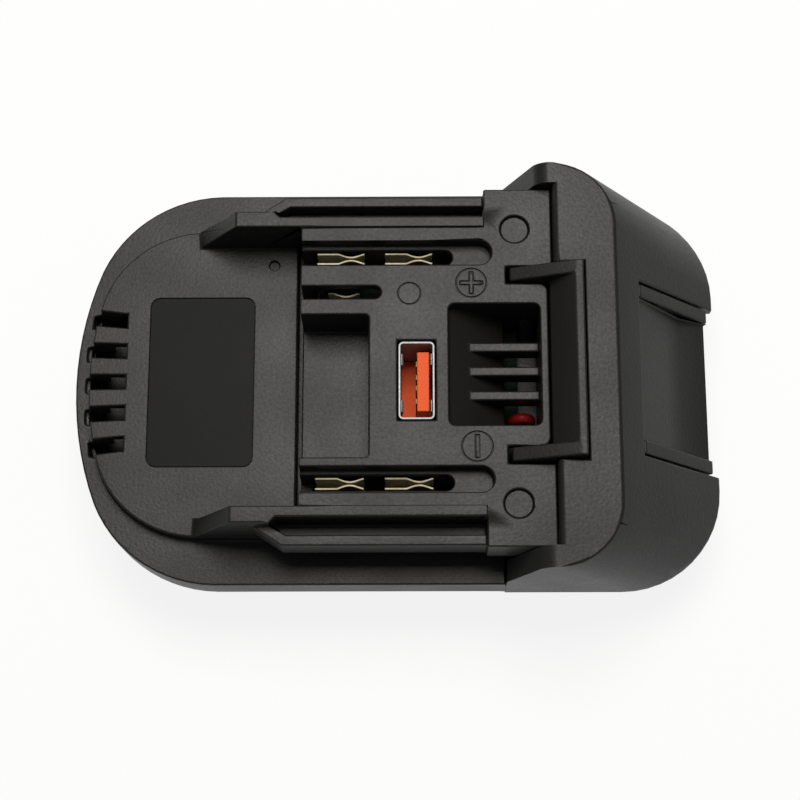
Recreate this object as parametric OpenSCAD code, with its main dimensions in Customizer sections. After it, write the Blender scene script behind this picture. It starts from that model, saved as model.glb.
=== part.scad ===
// Tool battery adapter: a slide-pack interface on top and a receiver for another pack underneath.
// +X runs towards the release button, +Y across and +Z up. The origin is at the middle of the base.
// All sizes are in millimetres.

/* [Overall] */
// Length from the insertion end to the button end
body_length = 121.4; // [114:0.2:136]
// Width across the rim
body_width = 76.2; // [74:0.2:86]
// General wall of the mouldings
wall = 2.2; // [1.8:0.1:2.6]
// Running clearance of the release latch
run_gap = 0.35; // [0.25:0.05:0.5]
// Clearance between fixed mouldings
fit_gap = 0.2; // [0.1:0.05:0.3]

/* [Levels] */
// Height of the receiver skirt below the tray floor
skirt_height = 13.7; // [12:0.1:18]
// Thickness of the tray floor
floor_t = 2.5; // [2:0.1:3]
// Depth of the tray above its floor
tray_depth = 3.6; // [3.4:0.1:6]
// Thickness of the rim plate
rim_t = 2.4; // [2:0.1:3.2]
// Step from the rim up to the plateau
plateau_step = 2.8; // [2:0.1:4]
// Rise from the plateau to the deck
deck_rise = 11; // [10:0.2:13]
// Rise of the collar above the deck
collar_rise = 3; // [2:0.2:4]
// Rise of the latch ridge above the deck
latch_rise = 5; // [4:0.2:6]

/* [Rim and plateau] */
// Radius of the rim's end arc
rim_end_r = 55; // [48:0.5:64]
// Radius of the rim's corner arcs
rim_corner_r = 26.5; // [22:0.5:30]
// Ledge between rim edge and plateau at the sides
side_ledge = 8.4; // [7:0.1:9]
// Ledge between rim edge and plateau at the insertion end
end_ledge = 4.2; // [3:0.1:6]
// Radius of the plateau's end arc
plateau_end_r = 50; // [44:0.5:58]
// Radius of the plateau's corner arcs
plateau_corner_r = 22; // [18:0.5:24]
// Number of vent slots at the insertion end
vent_count = 5; // [3:2:7]
// Width of a vent slot
vent_w = 2.7; // [2:0.1:3.2]
// Spacing of the vent slots
vent_pitch = 6; // [5:0.1:7]
// Length of a vent slot from the plateau's end
vent_length = 5.5; // [4:0.1:7]
// Length of the label plate across the adapter
label_l = 33; // [24:0.5:38]
// Width of the label plate
label_w = 19.8; // [14:0.2:22]
// Depth of the label's recess
label_depth = 0.4; // [0.2:0.1:0.6]
// Place of the label's middle along the adapter
label_x = -36.8; // [-38:0.2:-34]

/* [Deck] */
// Place of the deck's insertion face
deck_x0 = -17.7; // [-19:0.1:-16]
// Place of the deck's button end
deck_x1 = 28.5; // [27.6:0.1:29]
// Half width of the deck inside the rails
deck_half = 26.4; // [26:0.1:27]
// Thickness of the deck
deck_t = 2.2; // [1.8:0.1:2.6]
// Width of the trench between plateau and deck
trench_w = 1.2; // [0.8:0.1:1.6]
// Depth of the trench below the plateau
trench_depth = 3; // [2:0.1:3.4]
// Distance from the middle to a power slot
power_y = 21.5; // [21:0.1:22]
// Width of a power slot
power_slot_w = 2.8; // [2.4:0.1:3.2]
// End of the power slots along the deck
power_slot_x = 10.2; // [9:0.1:12]
// Width of the shallow channel round a power slot
channel_w = 4.7; // [4:0.1:5]
// Depth of the shallow channel
channel_depth = 3; // [2:0.1:3.4]
// End of the shallow channels along the deck
channel_x = 17.4; // [15:0.1:18]
// Distance from the middle to the signal slot
signal_y = 13.8; // [13:0.1:14.4]
// Width of the signal slot
signal_slot_w = 2.4; // [2:0.1:2.8]
// End of the signal slot along the deck
signal_slot_x = -3; // [-5:0.1:-2]
// Place of the connector pocket's inner wall
pocket_x = -5.2; // [-7:0.1:-4.6]
// Lower side of the connector pocket
pocket_y0 = -17.4; // [-17.6:0.1:-15]
// Upper side of the connector pocket
pocket_y1 = 9.5; // [8:0.1:10]
// Depth of the connector pocket
pocket_depth = 10.4; // [9:0.1:10.6]
// Place of the square recess's near wall
recess_x0 = 9.4; // [9:0.1:11]
// Place of the square recess's far wall
recess_x1 = 26.1; // [25:0.1:26.4]
// Half width of the square recess
recess_half = 11.5; // [10:0.1:12]
// Depth of the wall round the square recess
recess_wall_h = 10.2; // [9.6:0.1:10.4]
// Depth of the recess's ramp at the near wall
ramp_start = 2; // [1.6:0.1:2.4]
// Depth of the recess's ramp at its lower end
ramp_end = 10.2; // [9.6:0.1:10.6]
// Place of the ramp's lower end along the adapter
ramp_x = 19.8; // [19:0.1:20.2]
// Number of ribs in the square recess
rib_count = 3; // [2:1:4]
// Thickness of a rib
rib_t = 1.8; // [1.4:0.1:2.2]
// Spacing of the ribs
rib_pitch = 4.65; // [4:0.05:5]
// Length of a rib from the far wall
rib_length = 13; // [10:0.1:14]
// Depth of the rib tops below the deck
rib_depth = 5; // [4.4:0.1:6]
// Height of a rib at the far wall
rib_h = 4.5; // [4:0.1:5]

/* [Rails] */
// Half width of the rail's web
web_half = 29.5; // [29:0.1:30]
// Half width over the rail's lips
lip_half = 33.2; // [32.6:0.1:33.6]
// Half width of the end plate
plate_half = 33.9; // [33.8:0.1:34.4]
// Place where the end plate begins
plate_x = 16; // [14:0.1:17]
// Rise of the rail bar above the deck
bar_rise = 0.6; // [0.3:0.1:1]
// Depth of the lip's top below the deck
lip_drop = 2; // [1:0.1:3]
// Depth of the lip's underside below the deck
lip_under = 8.5; // [8:0.1:9]
// Width of the groove in the rail
groove_w = 2.8; // [2:0.1:3]
// Depth of the groove below the deck
groove_depth = 6; // [4:0.1:6.2]
// Start of the rail bar at the insertion end
bar_x = -37.5; // [-39:0.1:-35]
// Length of the ramp at the bar's start
bar_ramp = 7.6; // [6:0.1:9]
// Start of the lip, where it flares out of the bar
flare_x = -26.3; // [-28:0.1:-25]
// Distance from the middle to a housing screw
screw_y = 26; // [25.8:0.1:26.2]
// Place of the housing screws along the adapter
screw_x = 21.7; // [21:0.1:22.4]
// Radius of the plugs over the housing screws
plug_r = 2.6; // [2.4:0.1:2.8]

/* [End block and latch] */
// Place where the collar's flat top turns down to the front
brow_x = 40; // [38:0.1:42]
// Plan radius of the collar's corners
brow_r = 12; // [9:0.5:14]
// Rounding of the collar's edge over the end plate
collar_round = 2.4; // [1.6:0.1:2.8]
// Plan radius of the front corners
front_r = 19; // [16:0.5:22]
// Height of the upright edge under the front slope
front_edge = 2; // [1:0.1:4]
// Half width of the thumb button
button_half = 16.2; // [14:0.1:17]
// Distance of the button's top from the brow, down the slope
button_start = 7.6; // [7:0.1:9]
// Length of the button down the slope
button_length = 22; // [20:0.1:23]
// Depth of the thumb face behind the front slope
button_set = 0.9; // [0.8:0.1:1.4]
// Depth of the scoop in the thumb face
scoop_depth = 1.5; // [1:0.1:1.8]
// Distance of the scoop's deepest line from the button's top
scoop_at = 15.4; // [13:0.1:17]
// Half width over the latch arms
arm_half = 18.35; // [17:0.05:18.6]
// Thickness of a latch arm
arm_t = 2.6; // [2:0.1:3]
// Length of the latch arms ahead of the hook
arm_reach = 7.3; // [6:0.1:7.4]
// Corner radius of the deck's tongue between the arms
tongue_r = 1.5; // [1:0.1:1.8]
// Travel of the latch from rest to fully pressed
latch_travel = 4.5; // [3.5:0.1:5]
// Thickness of the latch ridge
ridge_t = 1.6; // [1.2:0.1:2]
// Depth of the hook from ramp foot to ridge back
hook_depth = 6; // [5.4:0.1:6.4]
// Wire diameter of the latch springs
spring_wire = 0.6; // [0.4:0.05:0.7]
// Coil diameter of the latch springs, wire middle to wire middle
spring_d = 4.6; // [4:0.1:5.4]
// Number of turns of a latch spring
spring_turns = 5; // [4:1:6]

/* [Receiver] */
// Half width of the receiver's wide slot
bay_half = 29.5; // [28:0.1:30]
// Half width between the receiver's rails
bay_mouth_half = 25.5; // [24:0.1:26]
// Thickness of the receiver's rails
bay_rail_t = 4; // [3:0.1:5]
// Place of the receiver's closed end
bay_x0 = -40; // [-42:0.1:-38.6]
// Place of the receiver's open end
bay_x1 = 46; // [42:0.1:48]
// Distance of the power blades from the middle
blade_y = 12; // [11:0.1:14]
// Thickness of a blade
blade_t = 0.8; // [0.6:0.1:1]
// Length of a blade in front of the terminal block
blade_reach = 14; // [10:0.1:18]
// Length of the terminal block along the receiver
terminal_l = 13.8; // [12:0.1:15]
// Width of the recess for the battery's own catch
catch_w = 16; // [12:0.5:20]

/* [Electrics] */
// Thickness of the circuit board
board_t = 1.6; // [1:0.1:2]
// Gap from the tray floor to the circuit board
board_lift = 3.8; // [3.6:0.1:4.2]
// Width of the USB socket along the adapter
usb_x = 6.6; // [6:0.1:7]
// Length of the USB socket across the adapter
usb_y = 14.7; // [13:0.1:15]
// Sheet thickness of the USB shell
usb_t = 0.4; // [0.3:0.05:0.5]
// Diameter of the power wires
wire_d = 2; // [1.6:0.1:2.4]

/* [Hidden] */
$fn = 48;
e = 0.01;
black = "#1b1b1c";
steel = "#b9bcc0";

// Levels from the base up
floor_z = skirt_height + floor_t;
seam_z = floor_z + tray_depth;
rim_z = seam_z + rim_t;
plateau_z = rim_z + plateau_step;
deck_z = plateau_z + deck_rise;
collar_z = deck_z + collar_rise;
ridge_z = deck_z + latch_rise;
board_z = floor_z + board_lift;
board_top = board_z + board_t;
lip_z0 = deck_z - lip_under;
lip_z1 = deck_z - lip_drop;
bar_z = deck_z + bar_rise;
pocket_z = deck_z - pocket_depth;

// Plan of the rim, the plateau and the skirt
half_l = body_length / 2;
half_w = body_width / 2;
plateau_half = half_w - side_ledge;
plateau_x0 = end_ledge - half_l;
seam_inset = 0.25;
skirt_inset = 4.2;
cheek_t = 1.9;
cheek_in = half_w - cheek_t;
rim_x1 = plate_x + 3.7;
block_x0 = rim_x1 + fit_gap;
label_r = 1.8;
dimple = [deck_x0 - 5.7, 22.9];
dimple_r = 1;
dimple_depth = 0.8;
vent_r = 0.5;
vent_notch = 1.4;
register_h = 1.6;
register_t = 1.2;
skin = 0.1;

// Rails, deck and recesses
lip_w = 2;
flare_run = 5.5;
groove_x = flare_x + 3.5;
hollow_half = deck_half - 2.5;
recess_wall = 1.5;
ramp_t = 2;
ramp_slope = (ramp_end - ramp_start) / (ramp_x - recess_x0);
recess_r = 1.1;
pocket_r = 0.7;
channel_floor = 1.8;

// End block and latch
tongue_x = recess_x1 + recess_wall;
hook_x0 = tongue_x + run_gap;
hook_x1 = hook_x0 + hook_depth;
hook_lift = 10;
hook_z0 = floor_z + hook_lift;
collar_x = max(deck_x1, tongue_x) + fit_gap;
cheek_foot = 2.4;
cheek_round = 4;
slope_run = half_l - brow_x;
slope_fall = collar_z - skirt_height - front_edge;
slope_len = norm([slope_run, slope_fall]);
button_t = 3.2;
button_rib = 2.6;
button_rib_set = 0.2;
web_half_y = 12;
web_t = 2.5;
web_drop = 10;
web_start = 3;
arm_tip_h = 2.2;
arm_tip_rise = 0.3;
spring_x = hook_x0 + hook_depth / 2;
spring_y = 9;
spring_play = 0.05;
spring_pin_r = (spring_d - spring_wire) / 2 - 0.4;
stop_gap = 0.1;
stop_lug = 2.5;
spring_pin_z = hook_z0 - latch_travel - stop_gap;

// Fastenings
screw_r = 1.5;
pilot_r = screw_r + 0.05;
screw_head_r = 2.4;
screw_head_h = 2;
screw_seat = screw_head_h + 0.2;
screw_boss_r = 3.4;
screw_in = 1;
screw_pilot = 1.5;
plug_sink = 0.6;
plug_t = 1.2;
screw_head_z = deck_z - plug_sink - plug_t;
small_screw_r = 1;
small_pilot_r = small_screw_r + 0.05;
small_head_r = 1.9;
small_head_h = 1.3;
small_screw_in = 0.8;
small_pilot = 1.2;
base_screw = [plateau_x0 + 9.5, 18];
base_head_z = 8;
base_head_r = 2.8;
base_head_h = 2;
base_boss_r = 3;

// Circuit board and what stands on it
board_x0 = deck_x0 + wall + 0.5;
board_x1 = recess_x1 - 3.5;
board_half = hollow_half - 0.4;
board_r = 1;
post_r = 2.4;
board_fixings = [[board_x0 + 2.5, 9], [board_x1 - 5.1, 18]];
coil_at = [8, -16.4];
coil_r = 3;
coil_core_r = 2.5;
coil_flange = 0.9;
coil_h = 4.5;
transistor_x = [1, 9];
transistor_y = 16;
transistor_size = [6.4, 6, 2.3];
leaf_t = 0.5;
leaf_flare = [2.5, 0.75];
leaf_pinch = [0.4, 0.15];
power_strip = 3.8;
signal_strip = 0.8;
fork_h = deck_z - channel_depth - 0.6 - board_top;
fork_foot = 2.4;
fork_foot_reach = 4;
power_fork_x = [-8.6, 4];
signal_fork_x = [-9.5];
usb_cx = 3.5;
usb_cy = -3.05;
usb_drop = 0.2;
usb_foot = 3;
usb_snug = 0.02;
usb_tongue_half = 5.6;
usb_tongue_gap = 0.6;
usb_tongue_drop = 0.9;
usb_contact_y = [-3.5, -1, 1, 3.5];
usb_contact_w = 1;
usb_contact_t = 0.25;
usb_contact_drop = 1.6;
tongue_face = usb_cx + 0.1;

// Receiver terminals
block_term_x0 = bay_x0 + fit_gap;
blade_x0 = block_term_x0 + terminal_l;
terminal_half = 19;
terminal_lift = 0.6;
terminal_z0 = bay_rail_t + terminal_lift;
terminal_fixing = [bay_x0 + 10, 16.2];
terminal_sink_h = 1.5;
terminal_sink = terminal_z0 + terminal_sink_h;
terminal_sink_r = 2.2;
terminal_skin = 0.6;
tab_in = 2.6;
tab_l = 4;
tab_x0 = bay_x0 + tab_in;
tab_x1 = tab_x0 + tab_l;
blade_low = 1.6;
blade_high = 1.5;
blade_z0 = terminal_z0 + blade_low;
blade_z1 = skirt_height - blade_high;
blade_tip = 1;
pin_y = 4;
pin_short = 4;
pin_low = 2;
catch_x = 26;
catch_l = 5;
catch_depth = 1.4;

// Routes of the power leads, along the tray floor and up to the board
lead_z = floor_z + wire_d / 2 + 0.2;
positive_route = [[tab_x1 + 0.1, blade_y, lead_z], [-28, 12, lead_z], [-22, 9.5, lead_z], [-16, 5, lead_z],
    [-9, 2.5, lead_z], [0, 1, lead_z], [9, -1.5, lead_z], [15, -4.5, lead_z], [19.5, -6.4, lead_z + 0.1],
    [22.6, -7.1, lead_z + 0.7], [24.4, -7.3, lead_z + 2.6], [24.7, -7.3, board_top + 1.3],
    [24, -7.3, board_top + 2.8], [23.1, -7.3, board_top + 3.3], [22.2, -7.3, board_top + 2.8],
    [21.6, -7.3, board_top + 1.6], [21.5, -7.3, board_top + 0.2]];
negative_route = [[tab_x1 + 0.1, -blade_y, lead_z], [-28, -12, lead_z], [-22, -13, lead_z],
    [-17, -14, lead_z + 0.1], [-14.4, -14.2, board_z - 1.6], [-14.2, -14.2, board_z - 0.2]];

// Points of an arc from angle a0 to a1 in n steps
function arc(c, r, a0, a1, n) = [for (i = [0 : n]) let (a = a0 + (a1 - a0) * i / n) c + r * [cos(a), sin(a)]];

// Outline with a round insertion end: an end arc between two tangent corner arcs, square at x1
function round_end(x0, half, end_r, corner_r, x1) =
    let (cy = half - corner_r)
    let (dx = sqrt(pow(end_r - corner_r, 2) - cy * cy))
    let (cx = x0 + end_r - dx)
    let (a = atan2(cy, dx))
    concat(
        arc([cx, cy], corner_r, 90, 180 - a, 14),
        arc([x0 + end_r, 0], end_r, 180 - a, 180 + a, 14),
        arc([cx, -cy], corner_r, 180 + a, 270, 14),
        [[x1, -half], [x1, half]]);

// Outline with two round front corners, square at x0
function round_front(x0, x1, half, r) = concat(
    [[x0, half], [x0, -half]],
    arc([x1 - r, r - half], r, 270, 360, 12),
    arc([x1 - r, half - r], r, 0, 90, 12));

// Rectangle with round corners, from two opposite corners
function round_rect(x0, y0, x1, y1, r) = concat(
    arc([x1 - r, y1 - r], r, 0, 90, 4),
    arc([x0 + r, y1 - r], r, 90, 180, 4),
    arc([x0 + r, y0 + r], r, 180, 270, 4),
    arc([x1 - r, y0 + r], r, 270, 360, 4));

// Point on the front slope: s down the slope from the brow, d deep behind it, as [x, z]
function on_slope(s, d) = let (u = [slope_run, -slope_fall] / slope_len)
    [brow_x, collar_z] + s * u - d * [-u[1], u[0]];

module slab(points, z0, z1) {
    translate([0, 0, z0]) linear_extrude(z1 - z0) polygon(points);
}

module block(x0, y0, z0, x1, y1, z1) {
    translate([x0, y0, z0]) cube([x1 - x0, y1 - y0, z1 - z0]);
}

// Side profile given as [x, z] points, drawn from y0 to y1
module side(points, y0, y1) {
    translate([0, y1, 0]) rotate([90, 0, 0]) linear_extrude(y1 - y0) polygon(points);
}

module rod(x, y, z0, z1, r) {
    translate([x, y, z0]) cylinder(h = z1 - z0, r = r);
}

// Copies a child on both sides of the adapter
module both_sides() {
    children();
    mirror([0, 1, 0]) children();
}

// Plans of the rim and the plateau, drawn in by an inset
function rim_plan(inset, x1) =
    round_end(inset - half_l, half_w - inset, rim_end_r - inset, rim_corner_r - inset, x1);
function plateau_plan(inset, x1) =
    round_end(plateau_x0 + inset, plateau_half - inset, plateau_end_r - inset, plateau_corner_r - inset, x1);

// A pan-head screw on a plain shank with a cross slot, its head towards -Z, or +Z when turned over
module screw(at, length, r, head_r, head_h, head_up) {
    slot_w = head_r * 0.25;
    translate(at) rotate([head_up ? 180 : 0, 0, 0]) difference() {
        union() {
            translate([0, 0, -head_h]) cylinder(h = head_h, r = head_r);
            translate([0, 0, -e]) cylinder(h = length + e, r = r);
        }
        for (a = [0, 90]) rotate(a) translate([-head_r * 0.6, -slot_w / 2, -head_h - e])
            cube([head_r * 1.2, slot_w, head_h / 2]);
    }
}

// A closed round tube along a path, with its rings turned from the direction given in ref
module tube(path, r, sides, ref) {
    last = len(path) - 1;
    points = [for (i = [0 : last])
        let (t = path[min(i + 1, last)] - path[max(i - 1, 0)])
        let (a = cross(t, ref) / norm(cross(t, ref)))
        let (b = cross(t, a) / norm(cross(t, a)))
        for (k = [0 : sides - 1]) path[i] + r * (cos(k * 360 / sides) * a + sin(k * 360 / sides) * b)];
    skin = [for (i = [0 : last - 1], k = [0 : sides - 1])
        let (p = i * sides + k, q = i * sides + (k + 1) % sides)
        each [[p, p + sides, q + sides], [p, q + sides, q]]];
    caps = [[for (k = [0 : sides - 1]) k], [for (k = [sides - 1 : -1 : 0]) last * sides + k]];
    polyhedron(points, concat(skin, caps));
}

// Main body: receiver skirt, tray, collar and front slope in one moulding

// Side profile of the end block, from the cheek's ramp over the collar to the front
function block_profile() = concat(
    [[half_l + 1, skirt_height], [block_x0, skirt_height], [block_x0, rim_z + cheek_foot]],
    arc([collar_x, collar_z - cheek_round], cheek_round, 150, 90, 6),
    [[half_l + 1, collar_z]]);

module end_block() {
    intersection() {
        hull() {
            slab(round_front(block_x0, half_l, half_w, front_r), skirt_height, skirt_height + front_edge);
            slab(round_front(block_x0, brow_x, half_w, brow_r), collar_z - skin, collar_z);
        }
        side(block_profile(), -half_w - 1, half_w + 1);
    }
}

module end_block_hollow() {
    inset = wall * slope_len / slope_fall;
    roof_x = brow_x + wall * slope_run / slope_fall - inset;
    hull() {
        slab(round_front(collar_x + wall, half_l - inset, half_w - wall, front_r - wall),
            floor_z, floor_z + skin);
        slab(round_front(collar_x + wall, roof_x, half_w - wall, brow_r - wall),
            collar_z - wall - skin, collar_z - wall);
    }
}

// Space over the cover between the cheeks, up to the collar's rounded edge
module collar_cut() {
    x0 = block_x0 - 1;
    x1 = collar_x + collar_round;
    side(concat([[x0, collar_z + 1], [x0, seam_z], [collar_x, seam_z]],
        arc([x1, collar_z - collar_round], collar_round, 180, 90, 6), [[x1, collar_z + 1]]),
        -cheek_in, cheek_in);
}

// Way of the thumb button through the front slope, open at the bottom edge
module button_way() {
    top = button_start - run_gap;
    end = slope_len + 12;
    out = -5;
    deep = 9;
    side([on_slope(top, out), on_slope(end, out), on_slope(end, deep), on_slope(top, deep)],
        -button_half - run_gap, button_half + run_gap);
}

module receiver_bay() {
    block(bay_x0, -bay_half, bay_rail_t, half_l + 1, bay_half, skirt_height);
    block(bay_x0, -bay_mouth_half, -1, half_l + 1, bay_mouth_half, bay_rail_t + e);
    block(catch_x, -catch_w / 2, skirt_height - e,
        catch_x + catch_l, catch_w / 2, skirt_height + catch_depth);
}

module main_body() {
    color(black) difference() {
        union() {
            difference() {
                union() {
                    slab(rim_plan(skirt_inset, bay_x1), 0, skirt_height + e);
                    slab(rim_plan(seam_inset, block_x0 + 1), skirt_height, seam_z);
                    end_block();
                }
                slab(rim_plan(seam_inset + wall, collar_x), floor_z, collar_z);
                collar_cut();
                end_block_hollow();
                block(hook_x0 - run_gap, -arm_half - run_gap, floor_z,
                    hook_x1 + run_gap, arm_half + run_gap, collar_z + 1);
                button_way();
                receiver_bay();
            }
            both_sides() {
                rod(screw_x, screw_y, floor_z - e, seam_z, screw_boss_r);
                rod(spring_x, spring_y, floor_z - e, spring_pin_z, spring_pin_r);
                for (at = board_fixings) rod(at[0], at[1], floor_z - e, board_z, post_r);
            }
        }
        both_sides() {
            rod(screw_x, screw_y, floor_z - screw_pilot, seam_z + 1, pilot_r);
            for (at = board_fixings) rod(at[0], at[1], floor_z - small_pilot, board_z + 1, small_pilot_r);
            rod(base_screw[0], base_screw[1], -1, base_head_z, base_head_r + fit_gap);
            rod(base_screw[0], base_screw[1], base_head_z - e, floor_z + 1, screw_r + fit_gap);
            rod(terminal_fixing[0], terminal_fixing[1], skirt_height - 1, floor_z - terminal_skin,
                small_pilot_r);
            for (y = [blade_y, pin_y])
                block(tab_x0 - fit_gap, y - blade_t / 2 - fit_gap, skirt_height - 1,
                    tab_x1 + fit_gap, y + blade_t / 2 + fit_gap, floor_z + 1);
        }
    }
}

// Upper cover: rim, plateau, deck and rails in one moulding

// One rail: a bar with a ramped start, and a lip that flares out of it
module rail() {
    x1 = plate_x + e;
    side([[bar_x, seam_z], [bar_x, plateau_z], [bar_x + bar_ramp, bar_z], [x1, bar_z], [x1, seam_z]],
        deck_half - e, web_half);
    slab([[flare_x, web_half - e], [flare_x + flare_run, lip_half], [x1, lip_half], [x1, deck_half],
        [flare_x, deck_half]], lip_z0, lip_z1);
}

// Groove along the rail's top, with a slanted start
module rail_groove() {
    g0 = lip_half - lip_w - groove_w;
    g1 = lip_half - lip_w;
    slab([[groove_x + 1, g0], [plate_x, g0], [plate_x, g1], [groove_x + groove_w, g1], [groove_x, g0 + 1]],
        deck_z - groove_depth, bar_z + 1);
}

// Space inside the deck, round the pocket's and the recess's walls
module deck_hollow() {
    x0 = deck_x0 + wall;
    x1 = tongue_x - recess_wall;
    channel_z = deck_z - channel_depth - channel_floor;
    inner = power_y - channel_w / 2 - recess_wall;
    difference() {
        union() {
            block(x0, -hollow_half, seam_z - 1, x1, hollow_half, channel_z);
            block(x0, -inner, channel_z - e, x1, inner, deck_z - deck_t);
        }
        block(x0 - 1, pocket_y0 - recess_wall, pocket_z - recess_wall, pocket_x + recess_wall,
            pocket_y1 + recess_wall, deck_z);
        block(recess_x0 - recess_wall, -recess_half - recess_wall, deck_z - recess_wall_h,
            x1 + 1, recess_half + recess_wall, deck_z);
    }
}

// A slot through the deck from its insertion face, with a round inner end
module blade_slot(y, w, x1, z0) {
    block(deck_x0 - 1, y - w / 2, z0, x1 - w / 2, y + w / 2, deck_z + 1);
    rod(x1 - w / 2, y, z0, deck_z + 1, w / 2);
}

// Plan of the latch's way round the deck's tongue
function latch_way() =
    let (x0 = tongue_x - arm_reach - run_gap, outer = arm_half + run_gap, inner = arm_half - arm_t - run_gap)
    let (cx = tongue_x - tongue_r, cy = inner - tongue_r)
    concat(
        [[x0, inner], [x0, outer], [deck_x1 + 1, outer], [deck_x1 + 1, -outer], [x0, -outer], [x0, -inner]],
        arc([cx, -cy], tongue_r, 270, 360, 5), arc([cx, cy], tongue_r, 0, 90, 5));

module deck_openings() {
    both_sides() {
        blade_slot(power_y, power_slot_w, power_slot_x, plateau_z + 1);
        blade_slot(power_y, channel_w, channel_x, deck_z - channel_depth);
        rod(screw_x, screw_y, screw_head_z - screw_seat, deck_z + 1, plug_r + fit_gap / 4);
        rod(screw_x, screw_y, seam_z - 1, deck_z, screw_r + fit_gap);
    }
    slab(latch_way(), plateau_z, deck_z + 1);
    blade_slot(signal_y, signal_slot_w, signal_slot_x, plateau_z + 1);
    slab(round_rect(deck_x0 - 2, pocket_y0, pocket_x, pocket_y1, pocket_r), pocket_z, deck_z + 1);
    slab(round_rect(recess_x0, -recess_half, recess_x1, recess_half, recess_r), seam_z, deck_z + 1);
    block(usb_cx - usb_x / 2 - fit_gap, usb_cy - usb_y / 2 - fit_gap, plateau_z,
        usb_cx + usb_x / 2 + fit_gap, usb_cy + usb_y / 2 + fit_gap, deck_z + 1);
    block(tongue_x, -arm_half - run_gap, seam_z - 1, deck_x1 + 1, arm_half + run_gap, plateau_z + e);
}

module vents() {
    for (i = [-(vent_count - 1) / 2 : (vent_count - 1) / 2]) {
        y = i * vent_pitch;
        notch = abs(i) < (vent_count - 1) / 2 ? vent_notch : 0;
        slab(round_rect(plateau_x0 - notch, y - vent_w / 2, plateau_x0 + vent_length, y + vent_w / 2, vent_r),
            rim_z - 1, plateau_z + 1);
    }
}

// Height of the middle of the recess's ramp
function ramp_middle(x) = deck_z - ramp_start - ramp_t / 2 - (x - recess_x0) * ramp_slope;

// Ramp that leads from the recess's near wall down into the housing, and the ribs that stand on it
module recess_ramp() {
    x0 = recess_x0 - e;
    up = ramp_t / 2;
    rib_x0 = recess_x1 - rib_length;
    rib_x1 = recess_x1 + e;
    rib_z1 = deck_z - rib_depth;
    rib_z0 = rib_z1 - rib_h;
    foot_x = recess_x0 + (ramp_middle(recess_x0) - rib_z0) / ramp_slope;
    side([[x0, ramp_middle(x0) + up], [ramp_x, ramp_middle(ramp_x) + up], [ramp_x, ramp_middle(ramp_x) - up],
        [x0, ramp_middle(x0) - up]], -recess_half - e, recess_half + e);
    for (i = [0 : rib_count - 1]) {
        y = (i - (rib_count - 1) / 2) * rib_pitch;
        side([[rib_x0, rib_z1], [rib_x1, rib_z1], [rib_x1, rib_z0], [foot_x, rib_z0],
            [rib_x0, ramp_middle(rib_x0)]], y - rib_t / 2, y + rib_t / 2);
    }
}

module upper_cover() {
    register_in = seam_inset + wall + fit_gap;
    color(black) {
        difference() {
            union() {
                slab(rim_plan(0, rim_x1), seam_z, rim_z);
                slab(plateau_plan(0, deck_x0 + wall), seam_z, plateau_z);
                block(deck_x0, -web_half, seam_z, deck_x1, web_half, lip_z0 + e);
                block(deck_x0, -deck_half, lip_z0, deck_x1, deck_half, deck_z);
                block(plate_x, -plate_half, lip_z0, deck_x1, plate_half, deck_z);
                both_sides() rail();
                both_sides() rod(base_screw[0], base_screw[1], floor_z + fit_gap, plateau_z - e, base_boss_r);
                difference() {
                    slab(rim_plan(register_in, rim_x1), seam_z - register_h, seam_z + e);
                    slab(rim_plan(register_in + register_t, rim_x1 + 1), seam_z - register_h - 1, seam_z + 1);
                }
            }
            difference() {
                slab(plateau_plan(wall, deck_x0 - trench_w), seam_z - e, plateau_z - wall);
                both_sides() rod(base_screw[0], base_screw[1], floor_z, plateau_z, base_boss_r);
            }
            both_sides() rod(base_screw[0], base_screw[1], floor_z, plateau_z - wall, pilot_r);
            block(deck_x0 - trench_w, -deck_half, plateau_z - trench_depth,
                deck_x0, deck_half, plateau_z + 1);
            deck_hollow();
            deck_openings();
            both_sides() rail_groove();
            vents();
            slab(round_rect(label_x - label_w / 2, -label_l / 2, label_x + label_w / 2, label_l / 2, label_r),
                plateau_z - label_depth, plateau_z + 1);
            rod(dimple[0], dimple[1], plateau_z - dimple_depth, plateau_z + 1, dimple_r);
        }
        recess_ramp();
    }
}

// Release latch: hook, arms, web and thumb button in one moulding

module release_latch() {
    arm_in = arm_half - arm_t;
    hook_top = [[hook_x1, hook_z0], [hook_x1, ridge_z], [hook_x1 - ridge_t, ridge_z]];
    arm_x0 = hook_x0 - arm_reach;
    depth_in = button_set + button_t;
    thumb_end = button_start + button_length;
    scoop = on_slope(button_start + scoop_at, button_set + scoop_depth);
    web_z = collar_z - web_drop;
    web_x1 = on_slope(button_start + web_start, button_set + button_t)[0] + 1;
    lug_z = collar_z - wall - stop_gap;
    color(black) union() {
        side(concat(hook_top, [[hook_x0, deck_z], [hook_x0, hook_z0]]), -arm_in - e, arm_in + e);
        both_sides() side(concat(hook_top, [[arm_x0, deck_z + arm_tip_rise], [arm_x0, deck_z - arm_tip_h],
            [hook_x0, deck_z - 2 * arm_tip_h], [hook_x0, hook_z0]]), arm_in, arm_half);
        both_sides()
            block(hook_x1 - stop_lug, arm_half - e, lug_z - stop_lug, hook_x1, arm_half + stop_lug, lug_z);
        block(hook_x1 - e, -web_half_y, web_z, web_x1, web_half_y, web_z + web_t);
        side([on_slope(button_start, button_set), scoop, on_slope(thumb_end, button_set),
            on_slope(thumb_end, depth_in), on_slope(button_start, depth_in)], -button_half, button_half);
        both_sides() side([on_slope(button_start, button_rib_set), on_slope(thumb_end, button_rib_set),
            on_slope(thumb_end, depth_in), on_slope(button_start, depth_in)],
            button_half - button_rib, button_half);
    }
}

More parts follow.
